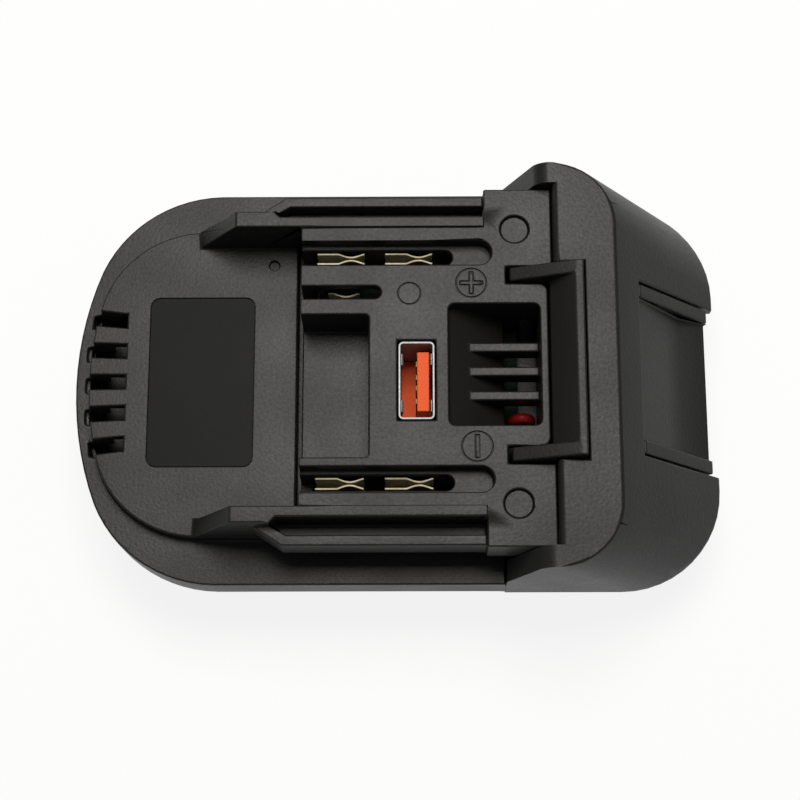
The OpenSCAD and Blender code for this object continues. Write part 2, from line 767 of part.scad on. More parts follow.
// A latch spring between the tray floor and the hook
module latch_spring(y) {
    rings = 8;
    lift = hook_z0 - floor_z - spring_wire - 2 * spring_play;
    path = [for (i = [0 : spring_turns * rings]) let (a = i * 360 / rings)
        [spring_x + spring_d / 2 * cos(a), y + spring_d / 2 * sin(a),
        floor_z + spring_play + spring_wire / 2 + lift * i / (spring_turns * rings)]];
    color(steel) tube(path, spring_wire / 2, 6, [0, 0, 1]);
}

module latch_spring_left() { latch_spring(spring_y); }
module latch_spring_right() { latch_spring(-spring_y); }

// Contacts of the tool side: pairs of leaves that pinch a blade, on a common foot

// Inner line of a leaf: a straight strip, then in to the pinch and out to the flare
function leaf_line(strip) = [[-leaf_flare[0] - strip, leaf_flare[1]], [-leaf_flare[0], leaf_flare[1]],
    [-leaf_pinch[0], leaf_pinch[1]], leaf_pinch, leaf_flare];

module leaf_pair(x, y, strip) {
    inner = leaf_line(strip);
    outer = [for (i = [len(inner) - 1 : -1 : 0]) inner[i] + [0, leaf_t]];
    for (s = [-1, 1]) translate([x, y, board_top]) linear_extrude(fork_h)
        polygon([for (p = concat(inner, outer)) [p[0], s * p[1]]]);
}

module fork(xs, y, strip) {
    color("#d9d4c4") union() {
        for (x = xs) leaf_pair(x, y, strip);
        block(min(xs) - fork_foot_reach, y - fork_foot / 2, board_top,
            max(xs) + fork_foot_reach, y + fork_foot / 2, board_top + leaf_t);
    }
}

module positive_fork() { fork(power_fork_x, power_y, power_strip); }
module negative_fork() { fork(power_fork_x, -power_y, power_strip); }
module signal_fork() { fork(signal_fork_x, signal_y, signal_strip); }

// Circuit board and what stands on it

module main_board() {
    color("#22332a") difference() {
        slab(round_rect(board_x0, -board_half, board_x1, board_half, board_r), board_z, board_top);
        both_sides() for (at = board_fixings)
            rod(at[0], at[1], board_z - 1, board_top + 1, small_screw_r + fit_gap);
    }
}

module board_screws() {
    color(steel) both_sides() for (at = board_fixings)
        screw([at[0], at[1], board_top], board_top - floor_z + small_screw_in - e,
            small_screw_r, small_head_r, small_head_h, true);
}

module converter_coil() {
    color("#2c2c2e") translate([coil_at[0], coil_at[1], board_top]) rotate_extrude()
        polygon([[0, 0], [coil_r, 0], [coil_r, coil_flange], [coil_core_r, coil_flange],
            [coil_core_r, coil_h - coil_flange], [coil_r, coil_h - coil_flange],
            [coil_r, coil_h], [0, coil_h]]);
}

module power_transistors() {
    size = transistor_size;
    color("#202022") for (x = transistor_x)
        translate([x - size[0] / 2, transistor_y - size[1] / 2, board_top]) cube(size);
}

module usb_shell() {
    color("#cfd1d4") difference() {
        block(usb_cx - usb_x / 2, usb_cy - usb_y / 2, board_top,
            usb_cx + usb_x / 2, usb_cy + usb_y / 2, deck_z - usb_drop);
        block(usb_cx - usb_x / 2 + usb_t, usb_cy - usb_y / 2 + usb_t, board_top - 1,
            usb_cx + usb_x / 2 - usb_t, usb_cy + usb_y / 2 - usb_t, deck_z + 1);
    }
}

// Insulator in the foot of the socket, with the tongue that carries the contacts
module usb_tongue() {
    gap = usb_t + usb_snug;
    color("#c9442a") union() {
        block(usb_cx - usb_x / 2 + gap, usb_cy - usb_y / 2 + gap, board_top,
            usb_cx + usb_x / 2 - gap, usb_cy + usb_y / 2 - gap, board_top + usb_foot);
        block(tongue_face, usb_cy - usb_tongue_half, board_top, usb_cx + usb_x / 2 - usb_t - usb_tongue_gap,
            usb_cy + usb_tongue_half, deck_z - usb_drop - usb_tongue_drop);
    }
}

module usb_contacts() {
    color("#d8b25a") for (y = usb_contact_y)
        block(tongue_face - usb_contact_t, usb_cy + y - usb_contact_w / 2, board_top + usb_foot,
            tongue_face, usb_cy + y + usb_contact_w / 2, deck_z - usb_drop - usb_contact_drop);
}

// Terminals of the receiver

module terminal_block() {
    color("#26272a") difference() {
        block(block_term_x0, -terminal_half, terminal_z0, blade_x0, terminal_half, skirt_height);
        both_sides() {
            for (y = [blade_y, pin_y])
                block(tab_x0 - fit_gap, y - blade_t / 2 - fit_gap / 4, blade_z0 - fit_gap,
                    blade_x0 + 1, y + blade_t / 2 + fit_gap / 4, skirt_height + 1);
            rod(terminal_fixing[0], terminal_fixing[1], terminal_z0 - 1, skirt_height + 1,
                small_screw_r + fit_gap);
            rod(terminal_fixing[0], terminal_fixing[1], terminal_z0 - 1, terminal_sink, terminal_sink_r);
        }
    }
}

module terminal_screws() {
    color(steel) both_sides()
        screw([terminal_fixing[0], terminal_fixing[1], terminal_sink], floor_z - 1 - terminal_sink,
            small_screw_r, small_head_r, small_head_h, false);
}

// A blade with a soldering tab that rises through the tray floor
module blade(y, reach, z1) {
    tip = blade_x0 + reach;
    c = blade_tip;
    color("#c9a45c") side([[tab_x0, blade_z0], [tip - c, blade_z0], [tip, blade_z0 + c], [tip, z1 - c],
        [tip - c, z1], [tab_x1, z1], [tab_x1, seam_z - 1], [tab_x0, seam_z - 1]],
        y - blade_t / 2, y + blade_t / 2);
}

module positive_blade() { blade(blade_y, blade_reach, blade_z1); }
module negative_blade() { blade(-blade_y, blade_reach, blade_z1); }
module signal_blades() { both_sides() blade(pin_y, blade_reach - pin_short, blade_z1 - pin_low); }

// Power leads from the blades' tabs to the board

module positive_wire() {
    color("#b3201c") tube(positive_route, wire_d / 2, 8, [0.2, 1, 0.1]);
}

module negative_wire() {
    color("#161617") tube(negative_route, wire_d / 2, 8, [0.2, 1, 0.1]);
}

// Fastenings and trim

module housing_screws() {
    color(steel) both_sides()
        screw([screw_x, screw_y, screw_head_z - screw_seat], screw_head_z - screw_seat - floor_z + screw_in,
            screw_r, screw_head_r, screw_head_h, true);
}

module base_screws() {
    color(steel) both_sides()
        screw([base_screw[0], base_screw[1], base_head_z], plateau_z - wall - 1 - base_head_z,
            screw_r, base_head_r, base_head_h, false);
}

module screw_plugs() {
    color("#232324") both_sides() rod(screw_x, screw_y, screw_head_z, deck_z - plug_sink, plug_r);
}

module label_plate() {
    inset = fit_gap / 2;
    color("#101011") slab(round_rect(label_x - label_w / 2 + inset, inset - label_l / 2,
        label_x + label_w / 2 - inset, label_l / 2 - inset, label_r),
        plateau_z - label_depth, plateau_z - label_depth / 4);
}

main_body();
upper_cover();
release_latch();
latch_spring_left();
latch_spring_right();
positive_fork();
negative_fork();
signal_fork();
main_board();
board_screws();
converter_coil();
power_transistors();
usb_shell();
usb_tongue();
usb_contacts();
terminal_block();
terminal_screws();
positive_blade();
negative_blade();
signal_blades();
positive_wire();
negative_wire();
housing_screws();
base_screws();
screw_plugs();
label_plate();
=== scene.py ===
import math

import bmesh
import bpy
from bpy.props import FloatProperty, FloatVectorProperty, IntProperty, PointerProperty
from mathutils import Matrix, Vector


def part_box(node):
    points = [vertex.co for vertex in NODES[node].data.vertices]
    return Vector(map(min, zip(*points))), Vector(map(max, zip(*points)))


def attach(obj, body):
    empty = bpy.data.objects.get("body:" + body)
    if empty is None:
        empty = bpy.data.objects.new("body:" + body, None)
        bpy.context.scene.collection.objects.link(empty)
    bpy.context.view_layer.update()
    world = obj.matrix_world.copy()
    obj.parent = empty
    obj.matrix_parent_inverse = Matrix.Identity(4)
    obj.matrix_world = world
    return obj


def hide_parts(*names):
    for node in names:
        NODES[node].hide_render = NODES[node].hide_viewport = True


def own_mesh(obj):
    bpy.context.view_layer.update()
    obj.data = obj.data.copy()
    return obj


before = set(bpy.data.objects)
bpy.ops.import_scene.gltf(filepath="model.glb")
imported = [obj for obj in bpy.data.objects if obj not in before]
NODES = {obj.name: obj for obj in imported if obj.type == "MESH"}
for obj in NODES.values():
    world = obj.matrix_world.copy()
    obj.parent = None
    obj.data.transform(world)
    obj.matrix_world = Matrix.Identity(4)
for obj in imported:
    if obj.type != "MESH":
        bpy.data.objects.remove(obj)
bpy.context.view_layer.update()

bl_info = {
    "name": "Tool battery adapter",
    "version": (1, 0, 0),
    "blender": (4, 5, 0),
    "location": "3D View > Sidebar > Adapter",
    "description": "Dresses the packed adapter: rounded mouldings, contacts, socket, fasteners and stage",
    "category": "Object",
}

MM = 0.001
DECK_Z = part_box("screw_plugs")[1].z + 0.0006
SOCKET_LOW, SOCKET_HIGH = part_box("usb_shell")
SPRING_NODES = ("latch_spring_left", "latch_spring_right")

# Middle lines of the two leads, in millimetres
POSITIVE_ROUTE = (
    (-33.3, 12, 17.4), (-28, 12, 17.4), (-22, 9.5, 17.4), (-16, 5, 17.4), (-9, 2.5, 17.4), (0, 1, 17.4),
    (9, -1.5, 17.4), (15, -4.5, 17.4), (19.5, -6.4, 17.5), (22.6, -7.1, 18.1), (24.4, -7.3, 20.0),
    (24.7, -7.3, 22.9), (24, -7.3, 24.4), (23.1, -7.3, 24.9), (22.2, -7.3, 24.4), (21.6, -7.3, 23.2),
    (21.5, -7.3, 21.8),
)
NEGATIVE_ROUTE = (
    (-33.3, -12, 17.4), (-28, -12, 17.4), (-22, -13, 17.4), (-17, -14, 17.5), (-14.4, -14.2, 18.4),
    (-14.2, -14.2, 19.8),
)

# Outlines of plateau and rim at the insertion end: end, half width, end radius, corner radius, in millimetres
SOLID_ENDS = ((-56.5, 29.7, 50.0, 22.0), (-60.7, 38.1, 55.0, 26.5))
FULL_ENDS = ((-57.9, 29.7, 60.0, 20.0), (-60.7, 38.1, 64.0, 25.0))
END_MIDDLE = -22.0
END_FADE = 2.5

# Collar in the solid and here, in millimetres: half width between the cheeks; X, Z and radius of the brow's arc
CHEEKS = (36.2, 34.1)
BROWS = ((31.1, 36.6, 2.4), (29.9, 37.8, 1.2))

# Where the body's edges belong to, in millimetres
CHEEK_X, COLLAR_Z = 31.0, 23.0
STEP_X, STEP_Y = 19.9, 37.0
OUTER_X, OUTER_Y = 39.0, 36.5

# Signs on the deck, fins at the ends of the rail grooves, and vents, in millimetres
PLUS_AT, MINUS_AT, RING_AT = (13.6, 15.5), (14.4, -15.5), (2.2, 13.5)
FIN_X, FIN_Y = (15.6, 16.4), (28.4, 29.9)
VENT_X, VENT_Z = (-56.8, -51.0), (19.0, 26.0)
VENT_STEP, VENT_HALF = 6, 1.35

# Contact leaf from its strip over the pinch to the flared end, and a spring tab of the socket, in millimetres
LEAF_BEND = (
    (-2.5, 0.75), (-2.2, 0.7), (-1.2, 0.32), (-0.4, 0.14), (0.4, 0.14), (1.2, 0.34), (2.1, 0.66), (2.5, 0.74),
)
TAB_LINE = ((0.0, -6.5), (0.25, -4.6), (0.48, -3.0), (0.5, -2.3), (0.3, -1.5))

# Rounding: least angle of an edge, room and length it needs in widths, least weight, distance of the slices
SHARP = math.radians(28)
ROOM_NEED, LENGTH_NEED = 2.4, 0.12
LEAST_WEIGHT = 0.1
SLICE = 7 * MM
MERGE = 2e-6


# Sizes and colours


def length(name, default, description):
    return FloatProperty(name=name, default=default, description=description, unit="LENGTH", precision=5)


def colour(name, default, description):
    return FloatVectorProperty(
        name=name, default=default, size=4, subtype="COLOR", min=0.0, max=1.0, description=description
    )


def share(name, default, description):
    return amount(name, default, description, max=1.0, subtype="FACTOR")


def amount(name, default, description, **more):
    return FloatProperty(name=name, default=default, min=0.0, description=description, **more)


def turning(name, degrees, description):
    return FloatProperty(name=name, default=math.radians(degrees), subtype="ANGLE", description=description)


class AdapterFinishes(bpy.types.PropertyGroup):
    shell: colour("Shell", (0.0105, 0.0101, 0.0097, 1), "Black plastic of the body, cover and latch")
    film: colour("Label film", (0.006, 0.006, 0.0063, 1), "Black film on the bare label plate")
    tongue: colour("Socket tongue", (0.74, 0.105, 0.03, 1), "Orange red insulator of the socket")
    tin: colour("Tin plate", (0.46, 0.42, 0.31, 1), "Bright plating of the contact forks")
    nickel: colour("Nickel", (0.40, 0.40, 0.41, 1), "Plating of the socket's shell")
    steel: colour("Zinc plate", (0.62, 0.63, 0.65, 1), "Plating of screws and springs")
    brass: colour("Brass", (0.78, 0.60, 0.30, 1), "Receiver blades")
    # Painted shade: the board's lacquer colour is near-black, darker than any real lacquer, so that the board's
    # end seen through the recess keeps the dark of the shade it lies in
    mask: colour("Solder mask", (0.0016, 0.003, 0.0021, 1), "Lacquer of the circuit board")
    red_lead: colour("Red lead", (0.20, 0.008, 0.006, 1), "Insulation of the positive lead")
    shell_roughness: share("Shell roughness", 0.45, "Roughness of the moulded plastic")
    shell_gloss: share("Shell gloss", 0.25, "Strength of the moulded plastic's reflection")
    film_roughness: share("Film roughness", 0.4, "Roughness of the label film")


class AdapterForms(bpy.types.PropertyGroup):
    edge: length("Edge", 0.35 * MM, "Rounding of the moulded edges")
    brow: length("Brow", 0.5 * MM, "Rounding along the collar's brow")
    groove_width: length("Mark groove", 0.24 * MM, "Width of the engraved lines")
    groove_depth: length("Mark depth", 0.3 * MM, "Depth of the engraved lines")
    pole_ring: length("Pole ring", 2.9 * MM, "Radius of the rings round the pole signs")
    small_ring: length("Small ring", 2.2 * MM, "Radius of the bare ring by the signal slot")
    leaf: length("Leaf", 0.38 * MM, "Sheet thickness of the contact leaves")
    spring_turns: IntProperty(name="Spring turns", default=5, min=3, description="Turns of a latch spring")


class AdapterStage(bpy.types.PropertyGroup):
    elevation: turning("Elevation", 74.24, "Camera's height over the horizon")
    azimuth: turning("Azimuth", 1.44, "Camera's turn round the adapter")
    roll: turning("Roll", -1.57, "Camera's roll about its axis")
    distance: length("Distance", 0.3643, "Distance from the camera to the point it looks at")
    target: FloatVectorProperty(
        name="Target",
        default=(0.00045, -0.00514, 0.03),
        subtype="XYZ",
        unit="LENGTH",
        description="Point that the camera looks at",
    )
    lens: amount("Lens", 89.16, "Focal length in millimetres")
    key: amount("Key light", 4.6, "Power of the large key light", unit="POWER")
    fill: amount("Fill light", 0.18, "Power of the fill light", unit="POWER")
    warmth: colour("Key colour", (1.0, 0.975, 0.93, 1), "Colour of the key light")
    sky: amount("Sky", 0.2, "Strength of the even light all round")


# Meshes


def add_piece(name, mesh, body, slot, material, *nodes):
    """Links a finished mesh as a piece that rides on a body and may stand for CAD nodes."""
    piece = bpy.data.objects.new(name, mesh)
    bpy.context.scene.collection.objects.link(piece)
    if material:
        mesh.materials.clear()
        mesh.materials.append(material)
    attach(piece, body)
    if nodes:
        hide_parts(*nodes)
    return piece


def evaluated_mesh(obj):
    """The object's mesh with its modifiers applied."""
    depsgraph = bpy.context.evaluated_depsgraph_get()
    depsgraph.update()
    return bpy.data.meshes.new_from_object(obj.evaluated_get(depsgraph), depsgraph=depsgraph)


def scratch_object(name, mesh):
    obj = bpy.data.objects.new(name, mesh)
    bpy.context.scene.collection.objects.link(obj)
    return obj


def merged_copy(node):
    """A CAD node's mesh with its loose triangles joined."""
    bm = bmesh.new()
    bm.from_mesh(NODES[node].data)
    bmesh.ops.remove_doubles(bm, verts=bm.verts, dist=MERGE)
    mesh = bpy.data.meshes.new(node + "_copy")
    bm.to_mesh(mesh)
    bm.free()
    return mesh


def flatten(bm):
    """Dissolves the edges between triangles that lie in one plane."""
    bmesh.ops.dissolve_limit(
        bm, angle_limit=math.radians(0.4), use_dissolve_boundaries=False, verts=bm.verts, edges=bm.edges
    )


def slice_up(bm, axis, step):
    """Cuts the faces across an axis about every step, away from the points, so that no face is a long comb."""
    places = sorted(v.co[axis] for v in bm.verts)
    low, high = places[0], places[-1]
    count = int((high - low) / step)
    for k in range(1, count + 1):
        middle = low + (high - low) * k / (count + 1)
        near = [p for p in places if abs(p - middle) < step]
        tries = [middle + step * (i - 12) / 32 for i in range(25)]
        at = max(tries, key=lambda t: min((abs(t - p) for p in near), default=step))
        normal = Vector((0.0, 0.0, 0.0))
        normal[axis] = 1.0
        everything = bm.verts[:] + bm.edges[:] + bm.faces[:]
        bmesh.ops.bisect_plane(bm, geom=everything, dist=1e-6, plane_co=normal * at, plane_no=normal)


def spread_across(face, edge):
    """How far a face reaches away from one of its edges."""
    a, b = (v.co for v in edge.verts)
    along = (b - a).normalized()
    return max((v.co - a - along * (v.co - a).dot(along)).length for v in face.verts)


def weigh_edges(bm, width, weight_of):
    """Gives each sharp edge with room for it a bevel weight, and marks the others sharp."""
    layer = bm.edges.layers.float.new("bevel_weight_edge")
    for face in bm.faces:
        face.smooth = True
    for edge in bm.edges:
        if len(edge.link_faces) != 2 or edge.calc_face_angle(0.0) < SHARP:
            continue
        room = min(spread_across(f, edge) for f in edge.link_faces)
        weight = weight_of(edge)
        if weight == 0:
            edge.smooth = False
            continue
        while weight * width * ROOM_NEED > room and weight > LEAST_WEIGHT:
            weight /= 2
        if weight * width * ROOM_NEED > room or edge.calc_length() < weight * width * LENGTH_NEED:
            edge.smooth = False
            continue
        edge[layer] = weight


def round_edges(piece, width):
    bevel = piece.modifiers.new("Rounded edges", "BEVEL")
    bevel.width = width
    bevel.segments = 3
    bevel.limit_method = "WEIGHT"
    bevel.use_clamp_overlap = False
    bevel.loop_slide = False
    bevel.miter_outer = "MITER_SHARP"
    normals = piece.modifiers.new("Flat faces", "WEIGHTED_NORMAL")
    normals.mode = "FACE_AREA"
    normals.weight = 100
    normals.keep_sharp = True


def blank_edges(piece, width):
    """Breaks the sharp edges of sheet metal."""
    bevel = piece.modifiers.new("Blanked edge", "BEVEL")
    bevel.width = width
    bevel.segments = 2
    bevel.angle_limit = math.radians(50)


def rounded_piece(node, body, slot, material, width, weight_of=None, mesh=None):
    """A copy of a CAD node with rounded edges, which stands for the node."""
    bm = bmesh.new()
    bm.from_mesh(mesh or merged_copy(node))
    bmesh.ops.remove_doubles(bm, verts=bm.verts, dist=MERGE)
    flatten(bm)
    if len(bm.faces) > 40:
        slice_up(bm, 0, SLICE)
        slice_up(bm, 1, SLICE)
    weigh_edges(bm, width, weight_of or (lambda edge: 1.0))
    result = bpy.data.meshes.new(node + "_moulding")
    bm.to_mesh(result)
    bm.free()
    piece = add_piece(node + "_moulding", result, body, slot, material, node)
    round_edges(piece, width)
    return piece


def prism(bm, points, z0, z1):
    """Adds an upright prism over a closed outline."""
    low = [bm.verts.new((x, y, z0)) for x, y in points]
    high = [bm.verts.new((x, y, z1)) for x, y in points]
    bm.faces.new(list(reversed(low)))
    bm.faces.new(high)
    n = len(points)
    for i in range(n):
        j = (i + 1) % n
        bm.faces.new((low[i], low[j], high[j], high[i]))


def block(bm, xs, ys, zs):
    """Adds a box between pairs of X, Y and Z."""
    (x0, x1), (y0, y1) = sorted(xs), sorted(ys)
    prism(bm, [(x0, y0), (x1, y0), (x1, y1), (x0, y1)], *zs)


def frame_prism(bm, outer, inner, z0, z1):
    """Adds an upright prism between two outlines with the same number of points."""
    rings = [
        [bm.verts.new((x, y, z)) for x, y in points]
        for points, z in ((outer, z0), (outer, z1), (inner, z1), (inner, z0))
    ]
    n = len(outer)
    for k in range(4):
        a, b = rings[k], rings[(k + 1) % 4]
        for i in range(n):
            j = (i + 1) % n
            bm.faces.new((a[i], a[j], b[j], b[i]))


def circle(centre, r):
    n = 48
    return [
        (centre[0] + r * math.cos(2 * math.pi * i / n), centre[1] + r * math.sin(2 * math.pi * i / n))
        for i in range(n)
    ]


def rounded_rect(x0, y0, x1, y1, r):
    steps = 5
    points = []
    for cx, cy, start in (
        (x1 - r, y1 - r, 0),
        (x0 + r, y1 - r, 90),
        (x0 + r, y0 + r, 180),
        (x1 - r, y0 + r, 270),
    ):
        for k in range(steps + 1):
            a = math.radians(start + 90 * k / steps)
            points.append((cx + r * math.cos(a), cy + r * math.sin(a)))
    return points


def new_mesh(name, bm):
    bmesh.ops.recalc_face_normals(bm, faces=bm.faces)
    mesh = bpy.data.meshes.new(name)
    bm.to_mesh(mesh)
    bm.free()
    return mesh


def solids_of(node):
    """Boxes of the separate solids in a CAD node, as pairs of corners."""
    bm = bmesh.new()
    bm.from_mesh(merged_copy(node))
    left, boxes = set(bm.verts), []
    while left:
        todo, seen = [left.pop()], []
        while todo:
            vert = todo.pop()
            seen.append(vert.co.copy())
            for edge in vert.link_edges:
                other = edge.other_vert(vert)
                if other in left:
                    left.remove(other)
                    todo.append(other)
        boxes.append((Vector(map(min, zip(*seen))), Vector(map(max, zip(*seen)))))
    bm.free()
    return sorted(boxes, key=lambda box: tuple(box[0]))


def smooth_path(points, steps):
    """A Catmull-Rom path through the points."""
    points = [Vector(p) for p in points]
    ends = [points[0] * 2 - points[1], *points, points[-1] * 2 - points[-2]]
    path = []
    for a, b, c, d in zip(ends, ends[1:], ends[2:], ends[3:]):
        for k in range(steps):
            t = k / steps
            bend = (2 * a - 5 * b + 4 * c - d) * t * t + (3 * b - a - 3 * c + d) * t ** 3
            path.append(0.5 * (2 * b + (c - a) * t + bend))
    return path + [points[-1]]


# Geometry node trees


def built_once(build):
    """Lets only the first call build a node group, which has the function's name."""
    return lambda: bpy.data.node_groups.get(build.__name__) or build()


def feed(tree, value, socket):
    """Links a socket to another one, or sets its value."""
    if isinstance(value, bpy.types.NodeSocket):
        tree.links.new(value, socket)
    else:
        socket.default_value = value


class NodeTree:
    """Builds a geometry node tree with named inputs: numbers, others with their kinds, and a material."""

    def __init__(self, name, *numbers, **others):
        self.tree = bpy.data.node_groups.new(name, "GeometryNodeTree")
        kinds = {"Geometry": "Geometry", **dict.fromkeys(numbers, "Float"), **others, "Material": "Material"}
        for title, kind in kinds.items():
            self.tree.interface.new_socket(title, in_out="INPUT", socket_type="NodeSocket" + kind)
        self.tree.interface.new_socket("Geometry", in_out="OUTPUT", socket_type="NodeSocketGeometry")
        self.given = self.tree.nodes.new("NodeGroupInput").outputs
        self.made = self.tree.nodes.new("NodeGroupOutput").inputs

    def node(self, kind, inputs=(), **values):
        """Adds a node; inputs maps a socket's name or place to a value or another socket."""
        node = self.tree.nodes.new(kind)
        for key, value in values.items():
            setattr(node, key, value)
        for key, value in dict(inputs).items():
            feed(self.tree, value, node.inputs[key])
        return node.outputs

    def math(self, operation, a, b=0.0):
        return self.node("ShaderNodeMath", {0: a, 1: b}, operation=operation)[0]

    def vector(self, x=0.0, y=0.0, z=0.0):
        return self.node("ShaderNodeCombineXYZ", {"X": x, "Y": y, "Z": z})[0]

    def shift(self, geometry, offset):
        return self.node("GeometryNodeTransform", {"Geometry": geometry, "Translation": offset})[0]

    def join(self, *parts):
        node = self.tree.nodes.new("GeometryNodeJoinGeometry")
        for part in parts:
            self.tree.links.new(part, node.inputs[0])
        return node.outputs[0]

    def helix(self, turns, radius, height, resolution):
        inputs = {"Resolution": resolution, "Rotations": turns, "Height": height}
        return self.node("GeometryNodeCurveSpiral", {**inputs, "Start Radius": radius, "End Radius": radius})[0]

    def tube(self, curve, radius, sides):
        ring = self.node("GeometryNodeCurvePrimitiveCircle", {"Resolution": sides, "Radius": radius})[0]
        inputs = {"Curve": curve, "Profile Curve": ring, "Fill Caps": True}
        return self.node("GeometryNodeCurveToMesh", inputs)[0]

    def finish(self, geometry):
        real = self.node("GeometryNodeRealizeInstances", {"Geometry": geometry})[0]
        material = self.given["Material"]
        painted = self.node("GeometryNodeSetMaterial", {"Geometry": real, "Material": material})[0]
        self.tree.links.new(painted, self.made["Geometry"])
        return self.tree


@built_once
def wound_coil():
    """A round wire wound into a coil whose end turns lie flat."""
    t = NodeTree("wound_coil", "Wire Radius", "Coil Radius", "Turns", "Height", "Flat Share", Place="Vector")
    given = t.given
    spiral = t.helix(given["Turns"], given["Coil Radius"], given["Height"], 28)
    along = t.node("GeometryNodeSplineParameter")["Factor"]
    rise = t.node(
        "ShaderNodeMapRange",
        {
            "Value": along,
            "From Min": given["Flat Share"],
            "From Max": t.math("SUBTRACT", 1.0, given["Flat Share"]),
            "To Max": given["Height"],
        },
        interpolation_type="SMOOTHSTEP",
    )["Result"]
    place = t.node("ShaderNodeSeparateXYZ", {0: t.node("GeometryNodeInputPosition")[0]})
    level = t.vector(place["X"], place["Y"], rise)
    shaped = t.node("GeometryNodeSetPosition", {"Geometry": spiral, "Position": level})[0]
    return t.finish(t.shift(t.tube(shaped, given["Wire Radius"], 10), given["Place"]))


@built_once
def round_lead():
    """A round lead along the edges of the mesh."""
    t = NodeTree("round_lead", "Radius")
    line = t.node("GeometryNodeMeshToCurve", {"Mesh": t.given["Geometry"]})[0]
    smooth = t.node("GeometryNodeCurveSplineType", {"Curve": line}, spline_type="CATMULL_ROM")[0]
    fine = t.node("GeometryNodeSetSplineResolution", {"Geometry": smooth, "Resolution": 6})[0]
    return t.finish(t.tube(fine, t.given["Radius"], 16))


@built_once
def pan_screws():
    """Pan-head screws with a cross recess and a thread, one on each point of the mesh."""
    sizes = ("Head Radius", "Head Height", "Shank Radius", "Shank Length", "Pitch")
    t = NodeTree("pan_screws", *sizes, Turn="Rotation")
    given = t.given
    head_r, head_h = given["Head Radius"], given["Head Height"]
    brim_h = t.math("MULTIPLY", head_h, 0.45)
    dome_h = t.math("SUBTRACT", head_h, brim_h)
    brim = t.node("GeometryNodeMeshCylinder", {"Vertices": 32, "Radius": head_r, "Depth": brim_h})[0]
    brim = t.shift(brim, t.vector(z=t.math("MULTIPLY", brim_h, 0.5)))
    top_r = t.math("MULTIPLY", head_r, 0.74)
    cone = {"Vertices": 32, "Radius Top": top_r, "Radius Bottom": head_r, "Depth": dome_h}
    dome = t.shift(t.node("GeometryNodeMeshCone", cone)[0], t.vector(z=brim_h))
    long_side = t.math("MULTIPLY", head_r, 1.1)
    narrow = t.math("MULTIPLY", head_r, 0.26)
    tall = t.math("MULTIPLY", dome_h, 2.4)
    bars = [
        t.shift(t.node("GeometryNodeMeshCube", {"Size": size})[0], t.vector(z=head_h))
        for size in (t.vector(long_side, narrow, tall), t.vector(narrow, long_side, tall))
    ]
    cut = t.tree.nodes.new("GeometryNodeMeshBoolean")
    cut.operation = "DIFFERENCE"
    cut.solver = "EXACT"
    t.tree.links.new(dome, cut.inputs["Mesh 1"])
    for bar in bars:
        t.tree.links.new(bar, cut.inputs["Mesh 2"])
    length_, r = given["Shank Length"], given["Shank Radius"]
    core_r = t.math("MULTIPLY", r, 0.82)
    core = t.node("GeometryNodeMeshCylinder", {"Vertices": 24, "Radius": core_r, "Depth": length_})[0]
    core = t.shift(core, t.vector(z=t.math("MULTIPLY", length_, -0.5)))
    thread_h = t.math("MULTIPLY", length_, 0.86)
    helix = t.helix(t.math("DIVIDE", thread_h, given["Pitch"]), core_r, thread_h, 20)
    thread = t.tube(helix, t.math("MULTIPLY", r, 0.18), 4)
    thread = t.shift(thread, t.vector(z=t.math("MULTIPLY", length_, -0.97)))
    screw = t.join(brim, cut.outputs["Mesh"], core, thread)
    seats = {"Points": given["Geometry"], "Instance": screw, "Rotation": given["Turn"]}
    return t.finish(t.node("GeometryNodeInstanceOnPoints", seats)[0])


def grown_mesh(name, tree, points, joined=False, **inputs):
    """The plain mesh that a geometry node tree makes on some points, or along the line that joins them."""
    seed = bpy.data.meshes.new(name + "_points")
    edges = [(i, i + 1) for i in range(len(points) - 1)] if joined else []
    seed.from_pydata([tuple(p) for p in points], edges, [])
    work = scratch_object(name + "_work", seed)
    grow = work.modifiers.new("Grow", "NODES")
    grow.node_group = tree
    for item in tree.interface.items_tree:
        key = item.name.replace(" ", "_").lower()
        if item.in_out == "INPUT" and key in inputs:
            grow[item.identifier] = inputs[key]
    mesh = evaluated_mesh(work)
    work.modifiers.remove(grow)
    bpy.data.objects.remove(work)
    mesh.name = name
    return mesh


def shade_by_angle(mesh, degrees=32):
    mesh.shade_smooth()
    mesh.set_sharp_from_angle(angle=math.radians(degrees))


# Shaders


class Shader:
    """Builds a material around its Principled shader."""

    def __init__(self, name):
        self.material = bpy.data.materials.new(name)
        self.material.use_nodes = True
        self.tree = self.material.node_tree
        self.bsdf = self.tree.nodes["Principled BSDF"]

    def node(self, kind, **values):
        node = self.tree.nodes.new(kind)
        for key, value in values.items():
            setattr(node, key, value)
        return node

    def link(self, out, into):
        self.tree.links.new(out, into)

    def value(self, socket, value):
        self.bsdf.inputs[socket].default_value = value

    def dress(self, tree, depth, **inputs):
        """Drives colour, roughness and relief with a node group."""
        group = self.node("ShaderNodeGroup", node_tree=tree)
        for key, value in inputs.items():
            group.inputs[key.replace("_", " ")].default_value = value
        self.link(group.outputs["Colour"], self.bsdf.inputs["Base Color"])
        self.link(group.outputs["Roughness"], self.bsdf.inputs["Roughness"])
        self.bump(group.outputs["Height"], depth)

    def bump(self, height, distance):
        bump = self.node("ShaderNodeBump")
        bump.inputs["Distance"].default_value = distance
        bump.inputs["Strength"].default_value = 1.0
        self.link(height, bump.inputs["Height"])
        self.link(bump.outputs["Normal"], self.bsdf.inputs["Normal"])


